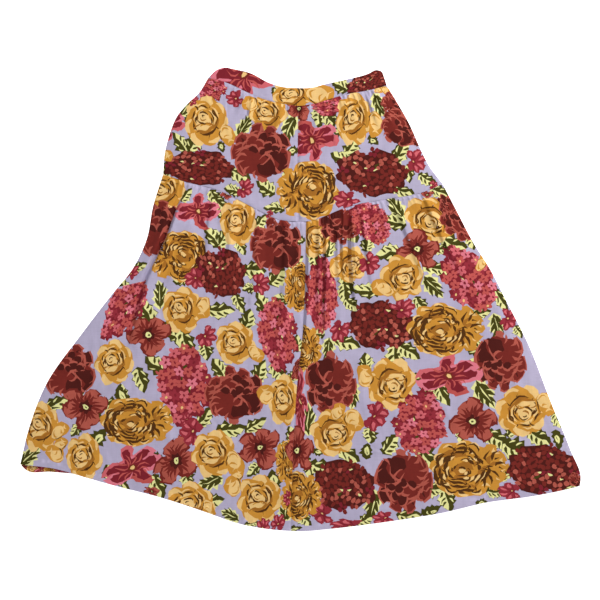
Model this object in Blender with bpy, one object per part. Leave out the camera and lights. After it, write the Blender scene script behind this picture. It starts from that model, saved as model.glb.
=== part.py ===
"""Tiered midi skirt laid flat, face up: a shaped waistband, an upper tier and a gathered lower tier.

X runs across the skirt, +Y towards the waist and +Z up. The origin is on the ground, below the
middle of the skirt. The back pieces lie on the ground and the front pieces lie on them.
"""

import math
from collections import namedtuple

import bpy
import numpy as np

MM = 0.001  # the sizes and tables below are in millimetres

# Cloth
WALL = 1.2  # one layer of cloth
BAND_WALL = 1.8  # the waistband is cut double
PIECE_GAP = 0.3  # between a front piece and the back piece under it
SEAM_HALF_GAP = 0.3  # each piece stops this far short of the seam line

# How the front lies on the back
FRONT_REST = WALL + PIECE_GAP  # underside of the front at the side edges
BAND_REST = BAND_WALL + PIECE_GAP
LOFT = 2.4  # the front stands this much higher away from the sides
BAND_LOFT = 0.8
SIDE_ROLL = 26.0  # width over which the side edge rolls up to the loft
SEAM_DIP = 1.0  # a seam lies this much lower than the cloth beside it
SEAM_DIP_WIDTH = 9.0
HEM_WAVE = 0.9  # rise and fall of the front hem
HEM_WAVES = 4.0  # waves along each half of the front hem
HEM_WAVE_SHARE = 0.35  # share of the lower tier that the waves reach up

# The back hem lies a little inside the front hem, and shows below it at the left corner
BACK_HEM_TUCK = 3.0
BACK_HEM_PEEP = 2.5
PEEP_FROM_X, PEEP_TO_X = -440.0, -330.0

# Mesh
TOP_STEP = 17.0  # widest space between two columns of points at the top of a panel
BOTTOM_STEP = 40.0  # and at its bottom
LEAST_STEP = 2.6  # narrowest space between two columns at the top of a panel
UPPER_ROWS = (0.0, 0.05, 0.13, 0.24, 0.38, 0.55, 0.74, 0.93, 1.0)
LOWER_ROWS = (0.0, 0.02, 0.055, 0.10, 0.16, 0.23, 0.31, 0.40, 0.50, 0.61, 0.73, 0.86, 0.975, 1.0)
BAND_ROWS = (0.0, 0.34, 0.67, 1.0)

Place = namedtuple("Place", "x y")

# Lines across the skirt, from the left side to the centre seam and on to the right side
BAND_TOP_LEFT = (
    Place(-158.0, 410.5), Place(-148.5, 416.5), Place(-136.7, 419.4), Place(-122.2, 416.8),
    Place(-91.4, 409.6), Place(-56.1, 391.5), Place(-30.0, 384.0), Place(-3.0, 382.4),
)
BAND_TOP_RIGHT = (
    Place(-3.0, 382.4), Place(17.2, 382.6), Place(46.2, 389.7), Place(83.4, 397.8),
    Place(124.0, 408.9), Place(136.7, 415.0), Place(147.0, 412.0), Place(151.0, 403.0),
)
WAIST_LEFT = (
    Place(-167.4, 400.5), Place(-147.5, 396.5), Place(-122.0, 387.0), Place(-97.7, 375.3),
    Place(-73.3, 364.6), Place(-22.6, 352.2), Place(-3.8, 349.9),
)
WAIST_RIGHT = (
    Place(-3.8, 349.9), Place(22.6, 353.5), Place(59.9, 364.4), Place(84.2, 371.5),
    Place(116.7, 376.8), Place(156.6, 386.8),
)
TIER_SEAM_LEFT = (
    Place(-248.9, 226.8), Place(-212.7, 214.1), Place(-151.1, 197.8), Place(-76.9, 161.6),
    Place(-42.5, 145.3), Place(-22.6, 141.7), Place(-3.0, 140.5),
)
TIER_SEAM_MIDDLE = (Place(-3.0, 140.5), Place(10.0, 140.8))
TIER_SEAM_RIGHT = (
    Place(10.0, 140.8), Place(30.0, 144.8), Place(51.0, 153.2), Place(74.0, 163.0),
    Place(100.0, 170.8), Place(156.6, 181.5), Place(218.1, 192.6), Place(257.9, 208.7),
)
HEM_LEFT = (
    Place(-507.7, -299.0), Place(-496.8, -307.2), Place(-452.3, -311.1), Place(-385.9, -323.1),
    Place(-334.0, -337.9), Place(-248.9, -359.6), Place(-175.2, -383.9), Place(-101.4, -408.4),
    Place(-46.2, -417.2), Place(-17.2, -419.2),
)
HEM_RIGHT = (
    Place(-17.2, -419.2), Place(0.0, -419.4), Place(55.2, -415.4), Place(129.4, -406.2),
    Place(183.7, -398.7), Place(257.9, -385.9), Place(332.1, -368.7), Place(431.7, -354.2),
    Place(476.4, -345.2), Place(505.9, -337.9),
)

# Lines down the skirt, from the waist to the hem
LEFT_UPPER = (
    Place(-167.4, 400.5), Place(-183.7, 374.3), Place(-205.4, 353.5), Place(-223.5, 331.7),
    Place(-238.0, 296.0), Place(-245.6, 266.0), Place(-248.9, 226.8),
)
LEFT_LOWER = (
    Place(-248.9, 226.8), Place(-266.8, 169.8), Place(-278.7, 109.0), Place(-303.0, 57.2),
    Place(-340.3, 10.5), Place(-394.2, -59.7), Place(-462.8, -157.8), Place(-493.9, -240.2),
    Place(-507.7, -299.0),
)
RIGHT_UPPER = (
    Place(156.6, 386.8), Place(178.0, 351.7), Place(198.2, 315.7), Place(214.8, 278.2),
    Place(233.1, 241.5), Place(257.9, 208.7),
)
RIGHT_LOWER = (
    Place(257.9, 208.7), Place(285.3, 155.7), Place(313.1, 102.8), Place(344.8, 52.3),
    Place(371.8, -0.9), Place(412.0, -80.0), Place(455.6, -191.1), Place(489.2, -273.1),
    Place(507.7, -327.0), Place(505.9, -337.9),
)
CENTRE_UPPER = (Place(-3.8, 349.9), Place(-5.2, 245.0), Place(-3.0, 140.5))
CENTRE_LOWER = (
    Place(10.0, 140.8), Place(9.0, 60.0), Place(4.5, -57.4), Place(-5.4, -147.9),
    Place(-12.5, -260.1), Place(-17.2, -419.2),
)
BAND_LEFT_END = (Place(-158.0, 410.5), Place(-167.4, 400.5))
BAND_RIGHT_END = (Place(151.0, 403.0), Place(156.6, 386.8))
BAND_CENTRE = (Place(-3.0, 382.4), Place(-3.8, 349.9))

# Gathers and folds: where they stand across the panel at its top and bottom, as shares of its
# width, where they peak and end down it, as shares of its length, then half width and height.
Fold = namedtuple("Fold", "top bottom peak end half_width height")
UPPER_LEFT_FOLDS = (
    Fold(0.19, 0.16, 0.12, 0.45, 9.0, 3.0),
    Fold(0.43, 0.42, 0.10, 0.34, 7.0, 3.2),
    Fold(0.53, 0.50, 0.13, 0.50, 7.0, 2.6),
    Fold(0.63, 0.62, 0.09, 0.30, 6.5, 3.4),
    Fold(0.80, 0.79, 0.12, 0.42, 8.0, 2.4),
)
UPPER_RIGHT_FOLDS = (
    Fold(0.20, 0.17, 0.12, 0.40, 8.0, 2.4),
    Fold(0.39, 0.33, 0.10, 0.36, 6.5, 3.8),
    Fold(0.50, 0.44, 0.08, 0.30, 6.5, 3.2),
    Fold(0.75, 0.72, 0.10, 0.38, 6.5, 4.0),
    Fold(0.87, 0.86, 0.12, 0.52, 7.0, 4.2),
)
LOWER_LEFT_FOLDS = (
    Fold(0.215, 0.265, 0.10, 0.62, 16.0, 11.0),
    Fold(0.36, 0.41, 0.07, 0.32, 11.0, 5.0),
    Fold(0.50, 0.56, 0.06, 0.36, 12.0, 4.6),
    Fold(0.68, 0.74, 0.06, 0.42, 13.0, 5.4),
    Fold(0.875, 0.90, 0.08, 0.66, 13.0, 4.6),
)
LOWER_RIGHT_FOLDS = (
    Fold(0.062, 0.050, 0.09, 0.48, 12.5, 9.0),
    Fold(0.190, 0.125, 0.09, 0.46, 12.0, 8.5),
    Fold(0.305, 0.215, 0.06, 0.34, 8.0, 6.0),
    Fold(0.400, 0.330, 0.06, 0.40, 11.0, 4.6),
    Fold(0.640, 0.730, 0.08, 0.36, 13.0, 5.0),
    Fold(0.840, 0.900, 0.08, 0.34, 12.0, 5.4),
)
UPPER_BACK_FOLDS = (
    Fold(0.16, 0.18, 0.12, 0.50, 9.0, 1.1),
    Fold(0.33, 0.32, 0.12, 0.42, 8.0, 1.1),
    Fold(0.52, 0.52, 0.12, 0.46, 8.0, 1.1),
    Fold(0.70, 0.69, 0.12, 0.38, 8.0, 1.1),
    Fold(0.86, 0.84, 0.12, 0.50, 9.0, 1.1),
)
LOWER_BACK_FOLDS = (
    Fold(0.10, 0.12, 0.08, 0.50, 13.0, 1.2),
    Fold(0.21, 0.22, 0.08, 0.36, 12.0, 1.2),
    Fold(0.34, 0.34, 0.08, 0.44, 12.0, 1.2),
    Fold(0.47, 0.48, 0.08, 0.40, 12.0, 1.2),
    Fold(0.59, 0.59, 0.08, 0.46, 12.0, 1.2),
    Fold(0.73, 0.73, 0.08, 0.34, 12.0, 1.2),
    Fold(0.89, 0.88, 0.08, 0.50, 13.0, 1.2),
)

CLOTH_COLOUR = (0.43, 0.40, 0.60, 1.0)
BAND_COLOUR = (0.40, 0.36, 0.55, 1.0)
CLOTH_ROUGHNESS = 0.9


def smooth_step(value):
    """0 up to 1, with level ends."""
    held = np.clip(value, 0.0, 1.0)
    return held * held * (3.0 - 2.0 * held)


def along(places, share):
    """Positions on the smooth curve through the places, at shares of its length."""
    knots = np.array(places, float)
    steps = np.hypot(*np.diff(knots, axis=0).T)
    at = np.concatenate([[0.0], np.cumsum(steps)]) / steps.sum()
    slopes = np.gradient(knots, at, axis=0) if len(at) > 2 else np.repeat(knots[1:] - knots[:1], 2, 0)
    share = np.asarray(share, float)
    i = np.clip(np.searchsorted(at, share, side="right") - 1, 0, len(at) - 2)
    span = (at[i + 1] - at[i])[..., None]
    t = (share - at[i])[..., None] / span
    before = (2 * t**3 - 3 * t**2 + 1) * knots[i] + (t**3 - 2 * t**2 + t) * span * slopes[i]
    after = (3 * t**2 - 2 * t**3) * knots[i + 1] + (t**3 - t**2) * span * slopes[i + 1]
    return before + after


class Panel:
    """A four-sided piece of cloth seen from above, filled smoothly between its four edge lines."""

    def __init__(self, top, bottom, left, right):
        self.top, self.bottom, self.left, self.right = top, bottom, left, right

    def plan(self, across, down):
        """Plan positions at shares across and down, two arrays of one shape."""
        a, d = across[..., None], down[..., None]
        upright = (1 - d) * along(self.top, across) + d * along(self.bottom, across)
        level = (1 - a) * along(self.left, down) + a * along(self.right, down)
        start, end = np.array(self.top[0]), np.array(self.top[-1])
        foot_start, foot_end = np.array(self.bottom[0]), np.array(self.bottom[-1])
        corners = (1 - d) * ((1 - a) * start + a * end) + d * ((1 - a) * foot_start + a * foot_end)
        return upright + level - corners

    def width(self, down):
        """Straight distance from side to side at each share down."""
        return np.linalg.norm(along(self.right, down) - along(self.left, down), axis=-1)

    def length(self):
        """Straight length down the middle."""
        middle = self.plan(np.array([0.5, 0.5]), np.array([0.0, 1.0]))
        return float(np.linalg.norm(middle[1] - middle[0]))


def columns(panel, folds, edge_widths):
    """Shares at which the columns of points start and end: five on each fold, the rest spread out."""
    top_width, bottom_width = panel.width(np.array([0.0, 1.0]))
    marks = [(0.0, 0.0), (1.0, 1.0)]
    for width in edge_widths[0]:
        marks.append((width / top_width, width / bottom_width))
    for width in edge_widths[1]:
        marks.append((1 - width / top_width, 1 - width / bottom_width))
    for fold in folds:
        for share in (-1.0, -0.5, 0.0, 0.5, 1.0):
            reach = share * fold.half_width
            marks.append((fold.top + reach / top_width, fold.bottom + 1.6 * reach / bottom_width))
    marks = sorted(m for m in marks if 0.0 <= m[0] <= 1.0)
    kept = [marks[0]]
    for mark in marks[1:]:
        apart = (mark[0] - kept[-1][0]) * top_width
        if apart >= LEAST_STEP and mark[1] > kept[-1][1]:
            kept.append(mark)
    if kept[-1] != (1.0, 1.0):
        kept[-1] = (1.0, 1.0)
    filled = [kept[0]]
    for mark in kept[1:]:
        last = filled[-1]
        top_parts = math.ceil((mark[0] - last[0]) * top_width / TOP_STEP)
        bottom_parts = math.ceil((mark[1] - last[1]) * bottom_width / BOTTOM_STEP)
        parts = max(1, top_parts, bottom_parts)
        for k in range(1, parts + 1):
            share = k / parts
            filled.append((last[0] + (mark[0] - last[0]) * share, last[1] + (mark[1] - last[1]) * share))
    return np.array(filled)


def fold_heights(panel, folds, across, down):
    """Height of the gathers and folds at each point of a panel."""
    width = panel.width(down[:, 0])[:, None] * np.ones_like(across)
    total = np.zeros_like(across)
    for fold in folds:
        centre = fold.top + (fold.bottom - fold.top) * down
        spread = fold.half_width * (1.0 + 0.6 * down)
        off = np.clip(np.abs(across - centre) * width / spread, 0.0, 1.0)
        rise = smooth_step(down / fold.peak) * (1 - smooth_step((down - fold.peak) / (fold.end - fold.peak)))
        total += fold.height * rise * 0.5 * (1 + np.cos(math.pi * off))
    return total


def thick(under, wall, positions):
    """Upper side of a sheet, far enough above its underside that the wall is even on slopes."""
    fall_down = np.gradient(under, axis=0) / np.maximum(row_steps(positions, 0), 0.5)
    fall_across = np.gradient(under, axis=1) / np.maximum(row_steps(positions, 1), 0.5)
    return under + wall * np.sqrt(1 + fall_down**2 + fall_across**2)


def row_steps(positions, axis):
    """Distance between neighbouring points along one axis of the grid."""
    change = np.gradient(positions, axis=axis)
    return np.linalg.norm(change, axis=-1)


def add_sheet(name, positions, under, over, colour):
    """One closed body of cloth from the grids of its underside and its upper side."""
    rows, cols = under.shape
    lower = np.dstack([positions, under]).reshape(-1, 3)
    upper = np.dstack([positions, over]).reshape(-1, 3)
    points = np.concatenate([upper, lower]) * MM
    half = rows * cols
    faces = []
    for r in range(rows - 1):
        for c in range(cols - 1):
            a, b = r * cols + c, r * cols + c + 1
            p, q = a + cols, b + cols
            faces += [(a, p, q), (a, q, b)]
            faces += [(half + a, half + q, half + p), (half + a, half + b, half + q)]
    rim = list(range(cols))
    rim += [r * cols + cols - 1 for r in range(1, rows)]
    rim += [(rows - 1) * cols + c for c in range(cols - 2, -1, -1)]
    rim += [r * cols for r in range(rows - 2, 0, -1)]
    for a, b in zip(rim, rim[1:] + rim[:1]):
        faces += [(a, b, half + b), (a, half + b, half + a)]
    mesh = bpy.data.meshes.new(name)
    mesh.from_pydata(points.tolist(), [], faces)
    mesh.shade_smooth()
    mesh.set_sharp_from_angle(angle=math.radians(50))
    mesh.materials.append(cloth_material(name + "_cloth", colour))
    sheet = bpy.data.objects.new(name, mesh)
    bpy.context.scene.collection.objects.link(sheet)
    return sheet


def cloth_material(name, colour):
    """Matt printed cloth in its ground colour."""
    material = bpy.data.materials.new(name)
    material.use_nodes = True
    shader = material.node_tree.nodes["Principled BSDF"]
    shader.inputs["Base Color"].default_value = colour
    shader.inputs["Roughness"].default_value = CLOTH_ROUGHNESS
    shader.inputs["Metallic"].default_value = 0.0
    return material


def grid(panel, marks, rows):
    """Shares across and down for every point, and their plan positions short of the seam lines."""
    down = np.array(rows)[:, None] * np.ones(len(marks))
    across = marks[:, 0] + (marks[:, 1] - marks[:, 0]) * down
    gap_down = SEAM_HALF_GAP / panel.length()
    gap_across = SEAM_HALF_GAP / panel.width(down[:, 0])[:, None]
    held_down = gap_down + down * (1 - 2 * gap_down)
    held_across = gap_across + across * (1 - 2 * gap_across)
    return across, down, panel.plan(held_across, held_down)


def front_panel(name, panel, folds, rows, side_at, hem):
    """A front tier piece, rolled up from its side edge and dipping at its seams."""
    edge_widths = ((5.0, 13.0, SIDE_ROLL), (SEAM_DIP_WIDTH,))
    if side_at == 1:
        edge_widths = edge_widths[::-1]
    marks = columns(panel, folds, edge_widths)
    across, down, positions = grid(panel, marks, rows)
    width = panel.width(down[:, 0])[:, None]
    from_side = (across if side_at == 0 else 1 - across) * width
    from_centre = (1 - across if side_at == 0 else across) * width
    from_top = down * panel.length()
    loft = LOFT * smooth_step(from_side / SIDE_ROLL)
    dip = SEAM_DIP * (1 - smooth_step(from_centre / SEAM_DIP_WIDTH) * smooth_step(from_top / SEAM_DIP_WIDTH))
    under = FRONT_REST + loft - dip * smooth_step(from_side / SIDE_ROLL)
    under += fold_heights(panel, folds, across, down)
    if hem:
        reach = smooth_step((down - 1 + HEM_WAVE_SHARE) / HEM_WAVE_SHARE)
        reach *= smooth_step(from_side / (2 * SIDE_ROLL))
        under += HEM_WAVE * reach * np.sin(2 * math.pi * HEM_WAVES * across + 0.8)
    return add_sheet(name, positions, under, thick(under, WALL, positions), CLOTH_COLOUR)


def back_panel(name, panel, folds, rows):
    """A back tier piece, flat on the ground but for its gathers, which lift a little."""
    marks = columns(panel, folds, ((), ()))
    across, down, positions = grid(panel, marks, rows)
    under = fold_heights(panel, folds, across, down)
    return add_sheet(name, positions, under, under + WALL, CLOTH_COLOUR)


def band(name, panel, rest, loft):
    """One side of the waistband, a flat double strip that follows the waist."""
    marks = columns(panel, (), ((), ()))
    across, down, positions = grid(panel, marks, BAND_ROWS)
    from_end = np.minimum(across, 1 - across) * panel.width(down[:, 0])[:, None]
    under = rest + loft * smooth_step(from_end / SIDE_ROLL)
    return add_sheet(name, positions, under, under + BAND_WALL, BAND_COLOUR)


def joined(first, *others):
    """One line from several that meet end to end."""
    line = list(first)
    for other in others:
        line += other[1:]
    return tuple(line)


def back_hem():
    """The back hem, tucked behind the front hem and showing below it at the left corner."""
    places = []
    for place in joined(HEM_LEFT, HEM_RIGHT):
        tucked = smooth_step((place.x - PEEP_FROM_X) / (PEEP_TO_X - PEEP_FROM_X))
        lift = -BACK_HEM_PEEP + (BACK_HEM_PEEP + BACK_HEM_TUCK) * tucked
        places.append(Place(place.x, place.y + float(lift)))
    places[0], places[-1] = HEM_LEFT[0], HEM_RIGHT[-1]
    return tuple(places)


def main():
    for item in list(bpy.data.objects):
        bpy.data.objects.remove(item)

    waist = joined(WAIST_LEFT, WAIST_RIGHT)
    band_top = joined(BAND_TOP_LEFT, BAND_TOP_RIGHT)
    tier_seam = joined(TIER_SEAM_LEFT, TIER_SEAM_MIDDLE, TIER_SEAM_RIGHT)
    whole_band = Panel(band_top, waist, BAND_LEFT_END, BAND_RIGHT_END)
    band("waistband_back", whole_band, 0.0, 0.0)
    band("waistband_front", whole_band, BAND_REST, BAND_LOFT)

    upper_back = Panel(waist, tier_seam, LEFT_UPPER, RIGHT_UPPER)
    lower_back = Panel(tier_seam, back_hem(), LEFT_LOWER, RIGHT_LOWER)
    back_panel("upper_tier_back", upper_back, UPPER_BACK_FOLDS, UPPER_ROWS)
    back_panel("lower_tier_back", lower_back, LOWER_BACK_FOLDS, LOWER_ROWS)

    upper_left = Panel(WAIST_LEFT, TIER_SEAM_LEFT, LEFT_UPPER, CENTRE_UPPER)
    upper_right = Panel(
        WAIST_RIGHT, joined(TIER_SEAM_MIDDLE, TIER_SEAM_RIGHT), CENTRE_UPPER, RIGHT_UPPER
    )
    lower_left = Panel(
        joined(TIER_SEAM_LEFT, TIER_SEAM_MIDDLE), HEM_LEFT, LEFT_LOWER, CENTRE_LOWER
    )
    lower_right = Panel(TIER_SEAM_RIGHT, HEM_RIGHT, CENTRE_LOWER, RIGHT_LOWER)
    front_panel("upper_tier_front_left", upper_left, UPPER_LEFT_FOLDS, UPPER_ROWS, 0, False)
    front_panel("upper_tier_front_right", upper_right, UPPER_RIGHT_FOLDS, UPPER_ROWS, 1, False)
    front_panel("lower_tier_front_left", lower_left, LOWER_LEFT_FOLDS, LOWER_ROWS, 0, True)
    front_panel("lower_tier_front_right", lower_right, LOWER_RIGHT_FOLDS, LOWER_ROWS, 1, True)


main()
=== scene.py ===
"""Tiered midi skirt laid flat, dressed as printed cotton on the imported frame.

X runs across the skirt, +Y towards the waist and +Z up, in metres. Tables of places are in
millimetres, seen from above. Each cloth piece is a thin closed shell cut along the drawn edges of
its print, so the flowers stay crisp.
"""

import math
from collections import namedtuple

import bpy
import numpy as np
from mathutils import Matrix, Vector
from mathutils.geometry import delaunay_2d_cdt


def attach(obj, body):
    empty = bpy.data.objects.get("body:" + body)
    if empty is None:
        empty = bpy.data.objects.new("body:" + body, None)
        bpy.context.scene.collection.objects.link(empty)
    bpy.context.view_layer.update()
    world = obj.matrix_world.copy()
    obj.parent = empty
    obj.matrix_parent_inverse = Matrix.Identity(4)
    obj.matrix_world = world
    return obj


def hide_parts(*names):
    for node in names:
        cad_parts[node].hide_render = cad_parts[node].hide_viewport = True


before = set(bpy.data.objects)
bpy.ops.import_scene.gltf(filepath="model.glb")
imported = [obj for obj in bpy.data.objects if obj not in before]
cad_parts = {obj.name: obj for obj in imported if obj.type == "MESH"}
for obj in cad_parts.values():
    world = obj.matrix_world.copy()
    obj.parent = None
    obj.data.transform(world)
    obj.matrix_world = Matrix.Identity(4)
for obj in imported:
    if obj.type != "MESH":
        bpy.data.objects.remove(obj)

bl_info = {
    "name": "Tiered midi skirt",
    "version": (1, 0, 0),
    "blender": (4, 5, 0),
    "location": "3D View > Sidebar > Skirt",
    "description": "Dresses the skirt frame in gathered, flower-printed cotton",
    "category": "Object",
}

MM = 0.001
PRINT = "print"
BAKE_MAP = "OFBake"

Place = namedtuple("Place", "x y")
Fold = namedtuple("Fold", "top bottom peak end half_width height lean")
Crease = namedtuple("Crease", "line height left right")


def line_of(*places):
    """A line through places, each given across and up."""
    return tuple(Place(*place) for place in places)


# Lines across the skirt, from the left side to the centre seam and on to the right side
BAND_TOP_LEFT = line_of(
    (-158.0, 410.5), (-148.5, 416.5), (-136.7, 419.4), (-122.2, 416.8),
    (-91.4, 409.6), (-56.1, 391.5), (-30.0, 384.0), (-3.0, 382.4),
)
BAND_TOP_RIGHT = line_of(
    (-3.0, 382.4), (17.2, 382.6), (46.2, 389.7), (83.4, 397.8),
    (124.0, 408.9), (136.7, 415.0), (147.0, 412.0), (151.0, 403.0),
)
WAIST_LEFT = line_of(
    (-167.4, 400.5), (-147.5, 396.5), (-122.0, 387.0), (-97.7, 375.3),
    (-73.3, 364.6), (-22.6, 352.2), (-3.8, 349.9),
)
WAIST_RIGHT = line_of(
    (-3.8, 349.9), (22.6, 353.5), (59.9, 364.4), (84.2, 371.5),
    (116.7, 376.8), (156.6, 386.8),
)
TIER_SEAM_LEFT = line_of(
    (-248.9, 226.8), (-212.7, 214.1), (-151.1, 197.8), (-76.9, 161.6),
    (-42.5, 145.3), (-22.6, 141.7), (-3.0, 140.5),
)
TIER_SEAM_MIDDLE = line_of((-3.0, 140.5), (10.0, 140.8))
TIER_SEAM_RIGHT = line_of(
    (10.0, 140.8), (30.0, 144.8), (51.0, 153.2), (74.0, 163.0),
    (100.0, 170.8), (156.6, 181.5), (218.1, 192.6), (257.9, 208.7),
)
HEM_LEFT = line_of(
    (-507.7, -299.0), (-496.8, -307.2), (-452.3, -311.1), (-385.9, -323.1),
    (-334.0, -337.9), (-248.9, -359.6), (-175.2, -383.9), (-101.4, -408.4),
    (-46.2, -417.2), (-17.2, -419.2),
)
HEM_RIGHT = line_of(
    (-17.2, -419.2), (0.0, -419.4), (55.2, -415.4), (129.4, -406.2),
    (183.7, -398.7), (257.9, -385.9), (332.1, -368.7), (431.7, -354.2),
    (476.4, -345.2), (505.9, -337.9),
)

# Lines down the skirt, from the waist to the hem
LEFT_UPPER = line_of(
    (-167.4, 400.5), (-183.7, 374.3), (-205.4, 353.5), (-223.5, 331.7),
    (-238.0, 296.0), (-245.6, 266.0), (-248.9, 226.8),
)
LEFT_LOWER = line_of(
    (-248.9, 226.8), (-266.8, 169.8), (-278.7, 109.0), (-303.0, 57.2),
    (-340.3, 10.5), (-394.2, -59.7), (-462.8, -157.8), (-493.9, -240.2),
    (-507.7, -299.0),
)
RIGHT_UPPER = line_of(
    (156.6, 386.8), (178.0, 351.7), (198.2, 315.7), (214.8, 278.2),
    (233.1, 241.5), (257.9, 208.7),
)
RIGHT_LOWER = line_of(
    (257.9, 208.7), (285.3, 155.7), (313.1, 102.8), (344.8, 52.3),
    (371.8, -0.9), (412.0, -80.0), (455.6, -191.1), (489.2, -273.1),
    (507.7, -327.0), (505.9, -337.9),
)
CENTRE_UPPER = line_of((-3.8, 349.9), (-5.2, 245.0), (-3.0, 140.5))
CENTRE_LOWER = line_of(
    (10.0, 140.8), (9.0, 60.0), (4.5, -57.4), (-5.4, -147.9),
    (-12.5, -260.1), (-17.2, -419.2),
)
BAND_LEFT_END = line_of((-158.0, 410.5), (-167.4, 400.5))
BAND_RIGHT_END = line_of((151.0, 403.0), (156.6, 386.8))

# Main folds: where they stand across the panel at its top and bottom, as shares of its width,
# where they peak and end down it, as shares of its length, then half width, height and lean.
# A fold that leans falls steeply on its left (1) or its right (-1).
UPPER_LEFT_FOLDS = (
    Fold(0.19, 0.16, 0.12, 0.45, 9.0, 2.6, 0.3),
    Fold(0.43, 0.42, 0.10, 0.34, 7.0, 2.8, -0.4),
    Fold(0.53, 0.50, 0.13, 0.50, 7.0, 2.4, 0.3),
    Fold(0.63, 0.62, 0.09, 0.30, 6.5, 3.0, -0.3),
    Fold(0.80, 0.79, 0.12, 0.42, 8.0, 2.2, 0.4),
)
UPPER_RIGHT_FOLDS = (
    Fold(0.20, 0.17, 0.12, 0.40, 8.0, 2.2, -0.3),
    Fold(0.39, 0.33, 0.10, 0.36, 6.5, 3.4, 0.4),
    Fold(0.50, 0.44, 0.08, 0.30, 6.5, 2.8, -0.3),
    Fold(0.75, 0.72, 0.10, 0.38, 6.5, 3.6, 0.4),
    Fold(0.87, 0.86, 0.12, 0.52, 7.0, 3.8, -0.4),
)
LOWER_LEFT_FOLDS = (
    Fold(0.215, 0.262, 0.10, 0.66, 24.0, 6.0, 0.30),
    Fold(0.36, 0.41, 0.07, 0.34, 11.0, 4.4, 0.4),
    Fold(0.50, 0.56, 0.06, 0.38, 12.0, 4.0, 0.3),
    Fold(0.68, 0.74, 0.06, 0.44, 13.0, 4.6, 0.4),
    Fold(0.875, 0.90, 0.08, 0.70, 13.0, 4.2, 0.3),
)
LOWER_RIGHT_FOLDS = (
    Fold(0.100, 0.076, 0.08, 0.50, 15.0, 3.6, 0.3),
    Fold(0.225, 0.142, 0.08, 0.46, 14.0, 3.4, 0.4),
    Fold(0.330, 0.232, 0.06, 0.36, 10.0, 4.4, 0.5),
    Fold(0.400, 0.330, 0.06, 0.42, 11.0, 4.4, 0.4),
    Fold(0.640, 0.730, 0.08, 0.40, 13.0, 4.8, 0.5),
    Fold(0.840, 0.900, 0.08, 0.38, 12.0, 5.2, 0.5),
)
UPPER_BACK_FOLDS = (
    Fold(0.16, 0.18, 0.12, 0.50, 9.0, 1.1, 0.2),
    Fold(0.33, 0.32, 0.12, 0.42, 8.0, 1.1, -0.2),
    Fold(0.52, 0.52, 0.12, 0.46, 8.0, 1.1, 0.2),
    Fold(0.70, 0.69, 0.12, 0.38, 8.0, 1.1, -0.2),
    Fold(0.86, 0.84, 0.12, 0.50, 9.0, 1.1, 0.2),
)
LOWER_BACK_FOLDS = (
    Fold(0.10, 0.12, 0.08, 0.50, 13.0, 1.2, 0.2),
    Fold(0.21, 0.22, 0.08, 0.36, 12.0, 1.2, -0.2),
    Fold(0.34, 0.34, 0.08, 0.44, 12.0, 1.2, 0.2),
    Fold(0.47, 0.48, 0.08, 0.40, 12.0, 1.2, -0.2),
    Fold(0.59, 0.59, 0.08, 0.46, 12.0, 1.2, 0.2),
    Fold(0.73, 0.73, 0.08, 0.34, 12.0, 1.2, -0.2),
    Fold(0.89, 0.88, 0.08, 0.50, 13.0, 1.2, 0.2),
)

# Smaller creases, each along its own line: height, then how far it reaches to its left and right
# as one walks along it. Grooves have a height below zero.
UPPER_LEFT_CREASES = (
    Crease(((-136, 372), (-134, 330), (-128, 290)), 0.8, 3, 6),
    Crease(((-98, 362), (-96, 335), (-92, 312)), -0.9, 3, 4),
    Crease(((-70, 355), (-69, 330), (-71, 300)), 1.1, 3, 5),
    Crease(((-218, 300), (-190, 260), (-168, 226)), 0.7, 6, 9),
    Crease(((-170, 330), (-160, 280), (-150, 230)), 0.5, 7, 10),
    Crease(((-40, 300), (-44, 240), (-40, 180)), 0.5, 8, 10),
)
UPPER_RIGHT_CREASES = (
    Crease(((60, 352), (62, 320), (64, 270)), 1.2, 3, 5),
    Crease(((68, 350), (69, 330), (70, 300)), -0.9, 3, 3),
    Crease(((118, 362), (122, 330), (124, 296)), 1.0, 3, 5),
    Crease(((146, 372), (156, 352), (166, 330)), -1.0, 3, 4),
    Crease(((216, 224), (220, 212), (223, 204)), -1.0, 2, 3),
    Crease(((96, 260), (110, 230), (128, 196)), 0.5, 8, 10),
    Crease(((24, 330), (30, 270), (34, 210)), 0.5, 8, 10),
)
LOWER_LEFT_CREASES = (
    Crease(((-199, 208), (-215, 172), (-237, 110), (-272, 36), (-296, -44), (-316, -120)), 12.0, 26, 8),
    Crease(((-206, 204), (-224, 170), (-246, 108), (-282, 34), (-304, -40)), -2.6, 4, 5),
    Crease(((-213, 208), (-233, 172), (-256, 108), (-291, 34), (-312, -40)), 5.5, 7, 20),
    Crease(((-158, 126), (-170, 112), (-180, 98)), 0.9, 5, 8),
    Crease(((-60, 60), (-58, 40), (-55, 20)), 1.3, 6, 8),
    Crease(((-92, -8), (-96, -30), (-104, -60)), 1.5, 7, 10),
    Crease(((-268, 22), (-262, -20), (-256, -84)), 1.7, 9, 12),
    Crease(((-312, -150), (-330, -200), (-346, -250)), 1.5, 10, 14),
    Crease(((-354, -88), (-366, -130), (-384, -180)), 1.5, 9, 12),
    Crease(((-150, -120), (-160, -200), (-172, -290)), 1.3, 14, 18),
    Crease(((-60, -150), (-66, -230), (-72, -320)), 1.1, 12, 16),
    Crease(((-420, -130), (-440, -180), (-455, -230)), 1.5, 10, 12),
    Crease(((-230, -230), (-244, -280), (-262, -330)), 1.3, 10, 14),
    Crease(((-170, 176), (-196, 140), (-214, 100)), 1.5, 6, 8),
    Crease(((-110, 150), (-128, 110), (-140, 70)), -0.8, 5, 6),
)
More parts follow.
